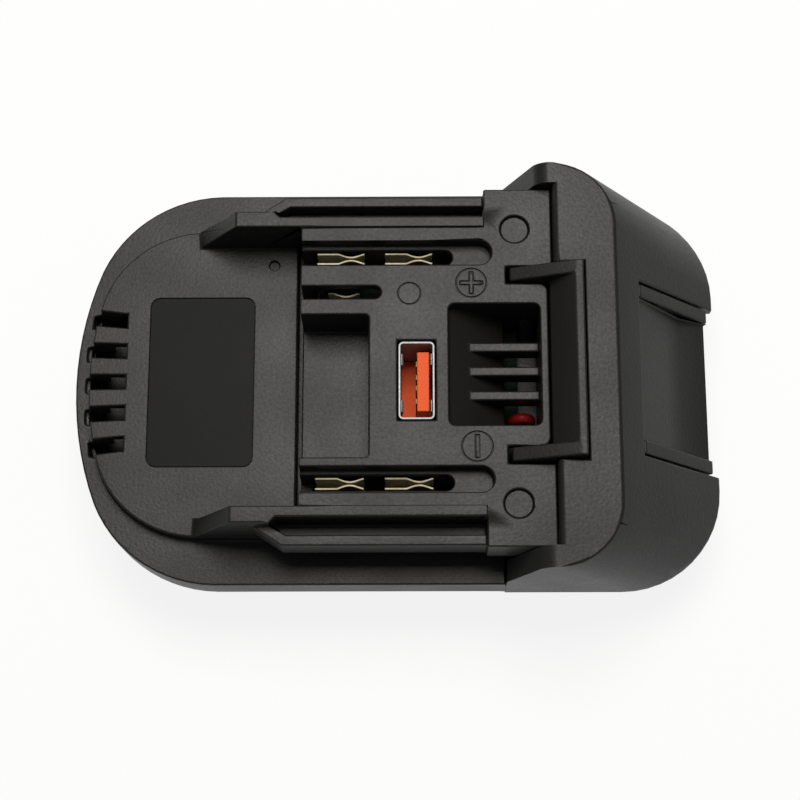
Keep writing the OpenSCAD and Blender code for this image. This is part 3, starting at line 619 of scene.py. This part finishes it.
def group_tree(name, *inputs):
    """A shader group with some inputs that gives a colour, a roughness and a height."""
    tree = bpy.data.node_groups.new(name, "ShaderNodeTree")
    for title, kind, default in inputs:
        socket = tree.interface.new_socket(title, in_out="INPUT", socket_type="NodeSocket" + kind)
        socket.default_value = default
    for title, kind in (("Colour", "Color"), ("Roughness", "Float"), ("Height", "Float")):
        tree.interface.new_socket(title, in_out="OUTPUT", socket_type="NodeSocket" + kind)
    return tree, tree.nodes.new("NodeGroupInput"), tree.nodes.new("NodeGroupOutput")


def math_node(tree, operation, a, b):
    node = tree.nodes.new("ShaderNodeMath")
    node.operation = operation
    feed(tree, a, node.inputs[0])
    feed(tree, b, node.inputs[1])
    return node.outputs[0]


def noise_node(tree, place, scale, detail=2.0):
    node = tree.nodes.new("ShaderNodeTexNoise")
    node.inputs["Detail"].default_value = detail
    tree.links.new(place, node.inputs["Vector"])
    feed(tree, scale, node.inputs["Scale"])
    return node.outputs["Fac"]


def swing(tree, noise, reach):
    """Noise turned into a value about zero."""
    return math_node(tree, "MULTIPLY", math_node(tree, "SUBTRACT", noise, 0.5), reach)


@built_once
def moulded_grain():
    """Spark-eroded grain of moulded plastic: a fine pebble height, a slow mottle and a roughness."""
    tree, given, made = group_tree(
        "moulded_grain",
        ("Colour", "Color", (0.03, 0.03, 0.03, 1)),
        ("Grain", "Float", 1800.0),
        ("Roughness", "Float", 0.5),
        ("Mottle", "Float", 0.12),
    )
    link = tree.links.new
    place = tree.nodes.new("ShaderNodeTexCoord").outputs["Object"]
    fine = noise_node(tree, place, given.outputs["Grain"])
    mottle = swing(tree, noise_node(tree, place, 55.0, 3.0), given.outputs["Mottle"])
    bright = math_node(tree, "ADD", mottle, 1.0)
    tint = tree.nodes.new("ShaderNodeVectorMath")
    tint.operation = "SCALE"
    link(given.outputs["Colour"], tint.inputs[0])
    link(bright, tint.inputs["Scale"])
    link(tint.outputs[0], made.inputs["Colour"])
    speckled = math_node(tree, "ADD", given.outputs["Roughness"], swing(tree, fine, 0.16))
    link(math_node(tree, "ADD", speckled, mottle), made.inputs["Roughness"])
    link(fine, made.inputs["Height"])
    return tree


@built_once
def plating():
    """Drawn and plated metal: fine streaks along one axis, a faint tarnish and an uneven roughness."""
    tree, given, made = group_tree(
        "plating",
        ("Colour", "Color", (0.8, 0.8, 0.8, 1)),
        ("Tarnish", "Color", (0.5, 0.4, 0.3, 1)),
        ("Tarnish share", "Float", 0.25),
        ("Roughness", "Float", 0.25),
        ("Stretch", "Vector", (1.0, 1.0, 1.0)),
    )
    link = tree.links.new
    place = tree.nodes.new("ShaderNodeTexCoord").outputs["Object"]
    stretched = tree.nodes.new("ShaderNodeVectorMath")
    stretched.operation = "MULTIPLY"
    link(place, stretched.inputs[0])
    link(given.outputs["Stretch"], stretched.inputs[1])
    streak = noise_node(tree, stretched.outputs[0], 2200.0)
    patch = noise_node(tree, place, 420.0, 4.0)
    ramp = tree.nodes.new("ShaderNodeMapRange")
    ramp.inputs["From Min"].default_value = 0.42
    ramp.inputs["From Max"].default_value = 0.72
    link(patch, ramp.inputs["Value"])
    link(given.outputs["Tarnish share"], ramp.inputs["To Max"])
    mix = tree.nodes.new("ShaderNodeMix")
    mix.data_type = "RGBA"
    link(ramp.outputs["Result"], mix.inputs["Factor"])
    link(given.outputs["Colour"], mix.inputs["A"])
    link(given.outputs["Tarnish"], mix.inputs["B"])
    link(mix.outputs["Result"], made.inputs["Colour"])
    uneven = swing(tree, streak, 0.2)
    link(math_node(tree, "ADD", given.outputs["Roughness"], uneven), made.inputs["Roughness"])
    link(streak, made.inputs["Height"])
    return tree


def plastic(name, tint, roughness, grain=1800.0, depth=0.02 * MM, mottle=0.12, specular=0.5):
    if name in bpy.data.materials:
        return bpy.data.materials[name]
    shader = Shader(name)
    shader.dress(moulded_grain(), depth, Colour=tint, Grain=grain, Roughness=roughness, Mottle=mottle)
    shader.value("Specular IOR Level", specular)
    return shader.material


def metal(name, tint, tarnish, tarnish_share, roughness, stretch=(1.0, 1.0, 1.0)):
    if name in bpy.data.materials:
        return bpy.data.materials[name]
    shader = Shader(name)
    colours = {"Colour": tint, "Tarnish": tarnish, "Tarnish_share": tarnish_share}
    shader.dress(plating(), 0.004 * MM, **colours, Roughness=roughness, Stretch=stretch)
    shader.value("Metallic", 1.0)
    return shader.material


def finishes():
    return bpy.context.scene.adapter_finishes


def forms():
    return bpy.context.scene.adapter_forms


def shell_plastic():
    f = finishes()
    depth = 0.045 * MM
    return plastic("shell_plastic", f.shell, f.shell_roughness, depth=depth, mottle=0.2, specular=f.shell_gloss)


def zinc():
    return metal("zinc_plate", finishes().steel, (0.40, 0.36, 0.30, 1), 0.3, 0.3)


def tin():
    return metal("tin_plate", finishes().tin, (0.26, 0.20, 0.11, 1), 0.5, 0.68)


def circuit_lacquer():
    """Near-black solder lacquer over a raster of tracks, a little raised over the copper; its colour is partly
    painted shade, darker than real lacquer, so that the board stays dark under the recess.
    """
    shader = Shader("circuit_lacquer")
    place = shader.node("ShaderNodeTexCoord").outputs["Object"]
    bricks = shader.node("ShaderNodeTexBrick", offset=0.5, squash=0.6, squash_frequency=3)
    # The board's colour: dark lacquer, made darker still as painted shade
    tint = finishes().mask
    for socket, value in (
        ("Scale", 120.0),
        ("Mortar Size", 0.06),
        ("Mortar Smooth", 0.3),
        ("Color1", tint),
        ("Color2", [v * 1.15 for v in tint[:3]] + [1]),
        ("Mortar", [v * 2.1 for v in tint[:3]] + [1]),
    ):
        bricks.inputs[socket].default_value = value
    shader.link(place, bricks.inputs["Vector"])
    shader.link(bricks.outputs["Color"], shader.bsdf.inputs["Base Color"])
    spread = shader.node("ShaderNodeMapRange")
    spread.inputs["To Min"].default_value = 0.5
    spread.inputs["To Max"].default_value = 0.7
    shader.link(noise_node(shader.tree, place, 900.0), spread.inputs["Value"])
    shader.link(spread.outputs["Result"], shader.bsdf.inputs["Roughness"])
    shader.value("Specular IOR Level", 0.05)
    shader.bump(bricks.outputs["Fac"], 0.03 * MM)
    return shader.material


# Operators


class PieceOperator(bpy.types.Operator):
    bl_options = {"REGISTER", "UNDO"}


def sign_cutter():
    """Cutter for the cover: two pole signs, a bare ring, the fins at the grooves' ends and the vents."""
    form = forms()
    w, ring = form.groove_width, form.pole_ring
    z0, z1 = DECK_Z - form.groove_depth, DECK_Z + 1 * MM
    plus, minus, bare = ((x * MM, y * MM) for x, y in (PLUS_AT, MINUS_AT, RING_AT))
    bm = bmesh.new()
    for centre, r in ((plus, ring), (minus, ring), (bare, form.small_ring)):
        frame_prism(bm, circle(centre, r), circle(centre, r - w), z0, z1)
    arm, half = ring * 0.76, ring * 0.155
    inset = w * 0.8

    def cross(a, h):
        right = ((a, -h), (a, h), (h, h))
        corners = []
        for _ in range(4):
            corners += [(plus[0] + x, plus[1] + y) for x, y in right]
            right = [(-y, x) for x, y in right]
        return corners

    def bar(a, h):
        return [(minus[0] + x, minus[1] + y) for x, y in ((-h, -a), (h, -a), (h, a), (-h, a))]

    frame_prism(bm, cross(arm, half), cross(arm - w, half - inset), z0, z1)
    frame_prism(bm, bar(arm, half), bar(arm - inset, half - inset), z0, z1)
    for side in (-1, 1):
        block(bm, [x * MM for x in FIN_X], [side * y * MM for y in FIN_Y], (DECK_Z, z1))
    for k in range(-2, 3):
        ys = [(VENT_STEP * k + edge) * MM for edge in (-VENT_HALF, VENT_HALF)]
        block(bm, [x * MM for x in VENT_X], ys, [z * MM for z in VENT_Z])
    return scratch_object("sign_cutter", new_mesh("sign_cutter", bm))


def profile_arc(x, z, r):
    """Points of the brow's arc in side view, from level to straight up, in millimetres."""
    steps = 6
    angles = [math.radians(180 - 90 * k / steps) for k in range(steps + 1)]
    return [Vector((x + r * math.cos(a), z + r * math.sin(a))) for a in angles]


def follow(point, old, new):
    """The place on a new profile that matches a point's place on the old one, or None off the profile."""
    for a, b, c, d in zip(old, old[1:], new, new[1:]):
        run = b - a
        t = (point - a).dot(run) / run.length_squared
        if -0.001 <= t <= 1.001 and (a + run * t - point).length < 0.02:
            return c + (d - c) * t
    return None


def fill_cheeks(mesh):
    """Widens the cheeks to the end plate, and tightens the collar's edge between them."""
    old, new = (profile_arc(*brow) for brow in BROWS)
    solid_in, full_in = CHEEKS
    for vert in mesh.vertices:
        x, y, z = vert.co / MM
        if abs(abs(y) - solid_in) < 0.05 and 19.8 < x < 31.2 and z > 19.7:
            vert.co.y = math.copysign(full_in * MM, y)
        place = follow(Vector((x, z)), old, new)
        if place:
            vert.co.x, vert.co.z = place * MM


def past_outline(x, y, outline):
    """How far a point in plan lies outside a round end: an end arc between two corner arcs."""
    x0, half, end_r, corner_r = outline
    cy = half - corner_r
    dx = math.sqrt((end_r - corner_r) ** 2 - cy * cy)
    cx = x0 + end_r - dx
    if x > cx:
        return y - half
    if math.atan2(y, x0 + end_r - x) < math.atan2(cy, dx):
        return math.hypot(x0 + end_r - x, y) - end_r
    return math.hypot(x - cx, y - cy) - corner_r


def end_reach(angle, outline):
    """Distance from the round end's middle to an outline, at an angle from -X, in millimetres."""
    low, high = 0.0, 80.0
    for _ in range(30):
        r = (low + high) / 2
        outside = past_outline(END_MIDDLE - r * math.cos(angle), r * math.sin(angle), outline) > 0
        low, high = (low, r) if outside else (r, high)
    return low


def fill_out_end(mesh):
    """Moves the round end of plateau and rim out to their fuller outlines, in plan only."""
    steps = 360
    outlines = (*SOLID_ENDS, *FULL_ENDS)
    rows = [[end_reach(math.pi / 2 * k / steps, outline) for outline in outlines] for k in range(steps + 1)]
    for vert in mesh.vertices:
        x, y = vert.co.x / MM - END_MIDDLE, vert.co.y / MM
        if x >= 0:
            continue
        r = math.hypot(x, y)
        plateau, rim, full_plateau, full_rim = rows[round(math.atan2(abs(y), -x) / (math.pi / 2) * steps)]
        share_in = min(max((r - plateau) / END_FADE + 1, 0), 1)
        share_out = min(max((r - plateau) / (rim - plateau), 0), 1)
        more = share_in * (full_plateau - plateau) * (1 - share_out) + (full_rim - rim) * share_out
        vert.co.x = (END_MIDDLE + x * (r + more) / r) * MM
        vert.co.y = y * (r + more) / r * MM


def carve(mesh, cutter):
    """Cuts a closed cutter out of a mesh and removes the cutter."""
    work = scratch_object("carve_work", mesh)
    cut = work.modifiers.new("Cut", "BOOLEAN")
    cut.operation = "DIFFERENCE"
    cut.solver = "EXACT"
    cut.object = cutter
    result = evaluated_mesh(work)
    bpy.data.objects.remove(work)
    bpy.data.objects.remove(cutter)
    return result


class ADAPTER_OT_housing(PieceOperator):
    """Fills out and rounds the body and the cover, engraves the signs and opens the vents"""

    bl_idname = "adapter.housing"
    bl_label = "Housing"

    def execute(self, context):
        form = forms()
        skin = shell_plastic()

        def body_weight(edge):
            """Full on the collar's outer edge over the brow; none on the cheeks and the small step behind."""
            ends = [v.co for v in edge.verts]
            high = all(p.z > COLLAR_Z * MM for p in ends)
            if high and all(p.x < CHEEK_X * MM for p in ends):
                return 0.0
            if all(abs(p.x - STEP_X * MM) < 0.05 * MM and abs(p.y) > STEP_Y * MM for p in ends):
                return 0.0
            outer = all(abs(p.y) > OUTER_Y * MM or p.x > OUTER_X * MM for p in ends)
            return 1.0 if high and outer else form.edge / form.brow

        body = merged_copy("main_body")
        fill_cheeks(body)
        fill_out_end(body)
        rounded_piece("main_body", "housing", "shell", skin, form.brow, body_weight, mesh=body)
        cover = carve(merged_copy("upper_cover"), sign_cutter())
        fill_out_end(cover)
        rounded_piece("upper_cover", "housing", "shell", skin, form.edge, mesh=cover)
        return {"FINISHED"}


class ADAPTER_OT_latch(PieceOperator):
    """Rounds the release latch with its hook, arms and thumb button"""

    bl_idname = "adapter.latch"
    bl_label = "Release latch"

    def execute(self, context):
        rounded_piece("release_latch", "latch", "latch", shell_plastic(), forms().edge)
        return {"FINISHED"}


class ADAPTER_OT_springs(PieceOperator):
    """Winds the two latch springs, which are squeezed when the latch is pressed"""

    bl_idname = "adapter.springs"
    bl_label = "Latch springs"

    def execute(self, context):
        for node in SPRING_NODES:
            low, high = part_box(node)
            middle = (low + high) / 2
            wire = 0.3 * MM
            coil = (high.y - low.y) / 2 - wire
            mesh = grown_mesh(
                node + "_coil",
                wound_coil(),
                [(0, 0, 0)],
                wire_radius=wire,
                coil_radius=coil,
                turns=float(forms().spring_turns),
                height=high.z - low.z - 2 * wire,
                flat_share=0.12,
                place=(middle.x, middle.y, low.z + wire),
                material=zinc(),
            )
            shade_by_angle(mesh, 50)
            piece = add_piece(node + "_coil", mesh, "housing", "steel", None, node)
            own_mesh(piece)
        return {"FINISHED"}


class ADAPTER_OT_screws(PieceOperator):
    """Sets the screws of the housing, the base, the board and the terminal block"""

    bl_idname = "adapter.screws"
    bl_label = "Screws"

    def execute(self, context):
        for node, head_up, shank, head_h in (
            ("housing_screws", True, 1.5, 2.0),
            ("base_screws", False, 1.5, 2.0),
            ("board_screws", True, 1.0, 1.3),
            ("terminal_screws", False, 1.0, 1.3),
        ):
            boxes = solids_of(node)
            low, high = boxes[0]
            seats = [
                ((a.x + b.x) / 2, (a.y + b.y) / 2, b.z - head_h * MM if head_up else a.z + head_h * MM)
                for a, b in boxes
            ]
            mesh = grown_mesh(
                node + "_threaded",
                pan_screws(),
                seats,
                head_radius=(high.x - low.x) / 2,
                head_height=head_h * MM,
                shank_radius=shank * MM,
                shank_length=high.z - low.z - head_h * MM,
                pitch=shank * 0.55 * MM,
                turn=(0.0 if head_up else math.pi, 0.0, 0.0),
                material=zinc(),
            )
            shade_by_angle(mesh)
            add_piece(node + "_threaded", mesh, "housing", "steel", None, node)
        return {"FINISHED"}


class ADAPTER_OT_leads(PieceOperator):
    """Runs the two power leads from the blades' tabs to the board"""

    bl_idname = "adapter.leads"
    bl_label = "Leads"

    def execute(self, context):
        red = plastic("red_insulation", finishes().red_lead, 0.45, 900.0, 0.006 * MM, specular=0.12)
        black = plastic("black_insulation", (0.016, 0.016, 0.017, 1), 0.34, grain=900.0, depth=0.006 * MM)
        for node, route, slot, material in (
            ("positive_wire", POSITIVE_ROUTE, "red_lead", red),
            ("negative_wire", NEGATIVE_ROUTE, "black_lead", black),
        ):
            points = [(x * MM, y * MM, z * MM) for x, y, z in route]
            shape = {"radius": 0.99 * MM, "material": material}
            mesh = grown_mesh(node + "_lead", round_lead(), points, joined=True, **shape)
            shade_by_angle(mesh, 50)
            add_piece(node + "_lead", mesh, "housing", slot, None, node)
        return {"FINISHED"}


class ADAPTER_OT_forks(PieceOperator):
    """Bends the contact forks: side strips that run into pinching, flared leaves"""

    bl_idname = "adapter.forks"
    bl_label = "Contact forks"

    def execute(self, context):
        for node, xs, strip in (
            ("positive_fork", (-8.6, 4.0), 3.8),
            ("negative_fork", (-8.6, 4.0), 3.8),
            ("signal_fork", (-9.5,), 0.8),
        ):
            low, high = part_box(node)
            y = (low.y + high.y) / 2
            bm = bmesh.new()
            for x in xs:
                for side in (-1, 1):
                    self.leaf(bm, x * MM, y, side, strip, low.z, high.z)
            foot = rounded_rect(low.x, y - 1.2 * MM, high.x, y + 1.2 * MM, 0.4 * MM)
            prism(bm, foot, low.z, low.z + 0.4 * MM)
            mesh = new_mesh(node + "_leaves", bm)
            shade_by_angle(mesh)
            piece = add_piece(node + "_leaves", mesh, "housing", "contact", tin(), node)
            blank_edges(piece, 0.07 * MM)
        return {"FINISHED"}

    def leaf(self, bm, x, y, side, strip, z0, z1):
        """One leaf: a straight strip, then in to the pinch and out to a flared end."""
        t = forms().leaf
        start, off = LEAF_BEND[0]
        path = [Vector(((start - strip) * MM, off * MM, 0))]
        path += smooth_path([(a * MM, b * MM, 0) for a, b in LEAF_BEND], 4)
        inner = [(x + p.x, y + side * p.y) for p in path]
        outer = [(x + p.x, y + side * (p.y + t)) for p in path]
        prism(bm, inner + outer[::-1], z0, z1)


class ADAPTER_OT_socket(PieceOperator):
    """Folds the socket's shell with its spring tabs, and finishes its tongue and contacts"""

    bl_idname = "adapter.socket"
    bl_label = "Socket"

    def execute(self, context):
        f = finishes()
        nickel = metal("nickel_shell", f.nickel, (0.26, 0.25, 0.24, 1), 0.3, 0.62, stretch=(1.0, 1.0, 0.1))
        low, high = SOCKET_LOW, SOCKET_HIGH
        t = 0.4 * MM
        bm = bmesh.new()
        outer = rounded_rect(low.x, low.y, high.x, high.y, 0.9 * MM)
        inner = rounded_rect(low.x + t, low.y + t, high.x - t, high.y - t, 0.5 * MM)
        frame_prism(bm, outer, inner, low.z, high.z)
        for wall, way in ((low.x + t, 1), (high.x - t, -1)):
            for share_y in (0.2, 0.8):
                self.tab(bm, wall, way, low.y + (high.y - low.y) * share_y)
        mesh = new_mesh("usb_shell_folded", bm)
        shade_by_angle(mesh)
        shell = add_piece("usb_shell_folded", mesh, "housing", "socket", nickel, "usb_shell")
        blank_edges(shell, 0.08 * MM)
        gold = metal("gold_flash", (0.30, 0.22, 0.10, 1), (0.16, 0.11, 0.05, 1), 0.3, 0.6)
        orange = plastic("tongue_plastic", f.tongue, 0.5, 2500.0, 0.006 * MM, mottle=0.08, specular=0.06)
        rounded_piece("usb_tongue", "housing", "tongue", orange, 0.2 * MM)
        rounded_piece("usb_contacts", "housing", "gold", gold, 0.08 * MM)
        return {"FINISHED"}

    def tab(self, bm, wall, way, y):
        """A spring tab that leans in from the wall and turns back at its tip."""
        half, sheet = 1.1 * MM, 0.22 * MM
        front = [(wall + way * dx * MM, SOCKET_HIGH.z + dz * MM) for dx, dz in TAB_LINE]
        back = [(x - way * sheet, z) for x, z in front]
        loop = front + back[::-1]
        left = [bm.verts.new((x, y - half, z)) for x, z in loop]
        right = [bm.verts.new((x, y + half, z)) for x, z in loop]
        bm.faces.new(left)
        bm.faces.new(right[::-1])
        for i in range(len(loop)):
            j = (i + 1) % len(loop)
            bm.faces.new((left[i], right[i], right[j], left[j]))


class ADAPTER_OT_trim(PieceOperator):
    """Rounds the screw plugs and the bare label plate"""

    bl_idname = "adapter.trim"
    bl_label = "Plugs and label"

    def execute(self, context):
        f = finishes()
        rounded_piece("screw_plugs", "housing", "plug", shell_plastic(), 0.25 * MM)
        film = plastic("label_film", f.film, f.film_roughness, 5200.0, 0.003 * MM, mottle=0.05, specular=0.05)
        rounded_piece("label_plate", "housing", "label", film, 0.08 * MM)
        return {"FINISHED"}


class ADAPTER_OT_electrics(PieceOperator):
    """Rounds the board, what stands on it, and the terminals of the receiver"""

    bl_idname = "adapter.electrics"
    bl_label = "Board and terminals"

    def execute(self, context):
        f = finishes()
        brass = metal("brass_strip", f.brass, (0.42, 0.28, 0.12, 1), 0.3, 0.28, stretch=(0.1, 1.0, 1.0))
        ferrite = plastic("ferrite", (0.035, 0.034, 0.034, 1), 0.6, grain=2600.0)
        epoxy = plastic("epoxy_package", (0.022, 0.022, 0.024, 1), 0.55, grain=3000.0)
        block = plastic("block_plastic", (0.03, 0.031, 0.033, 1), 0.5)
        rounded_piece("main_board", "housing", "board", circuit_lacquer(), 0.12 * MM)
        rounded_piece("converter_coil", "housing", "package", ferrite, 0.25 * MM)
        rounded_piece("power_transistors", "housing", "package", epoxy, 0.2 * MM)
        rounded_piece("terminal_block", "housing", "insulator", block, 0.4 * MM)
        for node in ("positive_blade", "negative_blade", "signal_blades"):
            rounded_piece(node, "housing", "blade", brass, 0.14 * MM)
        return {"FINISHED"}


class ADAPTER_OT_stage(PieceOperator):
    """Sets up the floor, the lights, the sky and the camera"""

    bl_idname = "adapter.stage"
    bl_label = "Stage"

    def execute(self, context):
        stage = context.scene.adapter_stage
        context.scene.view_settings.view_transform = "Standard"
        self.floor()
        self.lights(stage)
        self.sky(stage)
        self.camera(stage)
        return {"FINISHED"}

    def floor(self):
        bm = bmesh.new()
        half, low, high = 2.0, -10.2 * MM, -0.2 * MM
        prism(bm, rounded_rect(-half, -half, half, half, 0.4), low, high)
        floor = scratch_object("floor", new_mesh("floor", bm))
        shader = Shader("pale_floor")
        shader.value("Base Color", (0.9, 0.9, 0.9, 1))
        shader.value("Roughness", 0.9)
        shader.value("Specular IOR Level", 0.1)
        white = shader.node("ShaderNodeEmission")
        white.inputs["Strength"].default_value = 1.0
        path = shader.node("ShaderNodeLightPath")
        seen = math_node(shader.tree, "MAXIMUM", path.outputs["Is Camera Ray"], path.outputs["Is Glossy Ray"])
        seen = math_node(shader.tree, "MAXIMUM", seen, path.outputs["Is Transmission Ray"])
        mix = shader.node("ShaderNodeMixShader")
        shader.link(math_node(shader.tree, "MULTIPLY", seen, 0.86), mix.inputs["Fac"])
        shader.link(shader.bsdf.outputs["BSDF"], mix.inputs[1])
        shader.link(white.outputs["Emission"], mix.inputs[2])
        shader.link(mix.outputs["Shader"], shader.tree.nodes["Material Output"].inputs["Surface"])
        floor.data.materials.append(shader.material)

    def lights(self, stage):
        for name, place, power, size, tint in (
            ("key_light", (0.0, 0.21, 0.68), stage.key, 0.34, stage.warmth[:3]),
            ("fill_light", (0.45, -0.30, 0.45), stage.fill, 0.5, (1, 1, 1)),
        ):
            data = bpy.data.lights.new(name, "AREA")
            data.energy = power
            data.size = size
            data.color = tint
            lamp = bpy.data.objects.new(name, data)
            lamp.location = place
            lamp.rotation_euler = (-Vector(place)).to_track_quat("-Z", "Y").to_euler()
            bpy.context.scene.collection.objects.link(lamp)

    def sky(self, stage):
        world = bpy.data.worlds.new("even_sky")
        world.use_nodes = True
        bpy.context.scene.world = world
        back = world.node_tree.nodes["Background"]
        back.inputs["Color"].default_value = (1, 1, 1, 1)
        path = world.node_tree.nodes.new("ShaderNodeLightPath")
        mix = world.node_tree.nodes.new("ShaderNodeMapRange")
        mix.inputs["To Min"].default_value = stage.sky
        mix.inputs["To Max"].default_value = 1.0
        world.node_tree.links.new(path.outputs["Is Camera Ray"], mix.inputs["Value"])
        world.node_tree.links.new(mix.outputs["Result"], back.inputs["Strength"])

    def camera(self, stage):
        e, a, roll = stage.elevation, stage.azimuth, stage.roll
        back = Vector((math.sin(a) * math.cos(e), -math.cos(a) * math.cos(e), math.sin(e)))
        level = Vector((math.cos(a), math.sin(a), 0.0))
        right = math.cos(roll) * level + math.sin(roll) * back.cross(level)
        up = back.cross(right)
        data = bpy.data.cameras.new("camera")
        data.sensor_width = 36.0
        data.lens = stage.lens
        data.clip_start = 0.01
        camera = bpy.data.objects.new("camera", data)
        axes = Matrix((right, up, back)).transposed().to_4x4()
        camera.matrix_world = Matrix.Translation(Vector(stage.target) + back * stage.distance) @ axes
        bpy.context.scene.collection.objects.link(camera)
        bpy.context.scene.camera = camera


class ADAPTER_PT_panel(bpy.types.Panel):
    bl_label = "Tool battery adapter"
    bl_idname = "ADAPTER_PT_panel"
    bl_space_type = "VIEW_3D"
    bl_region_type = "UI"
    bl_category = "Adapter"

    def draw(self, context):
        for operator in OPERATORS:
            self.layout.operator(operator.bl_idname)
        for owner, group in GROUPS.items():
            for name in group.__annotations__:
                self.layout.prop(getattr(context.scene, owner), name)


OPERATORS = (
    ADAPTER_OT_stage,
    ADAPTER_OT_housing,
    ADAPTER_OT_latch,
    ADAPTER_OT_springs,
    ADAPTER_OT_forks,
    ADAPTER_OT_socket,
    ADAPTER_OT_screws,
    ADAPTER_OT_trim,
    ADAPTER_OT_electrics,
    ADAPTER_OT_leads,
)
GROUPS = {
    "adapter_finishes": AdapterFinishes,
    "adapter_forms": AdapterForms,
    "adapter_stage": AdapterStage,
}


def register():
    for group in GROUPS.values():
        bpy.utils.register_class(group)
    for name, group in GROUPS.items():
        setattr(bpy.types.Scene, name, PointerProperty(type=group))
    for operator in OPERATORS:
        bpy.utils.register_class(operator)
    bpy.utils.register_class(ADAPTER_PT_panel)


def unregister():
    bpy.utils.unregister_class(ADAPTER_PT_panel)
    for operator in reversed(OPERATORS):
        bpy.utils.unregister_class(operator)
    for name, group in GROUPS.items():
        delattr(bpy.types.Scene, name)
        bpy.utils.unregister_class(group)


def main():
    register()
    for operator in OPERATORS:
        section, name = operator.bl_idname.split(".")
        getattr(getattr(bpy.ops, section), name)()


if __name__ == "__main__":
    main()
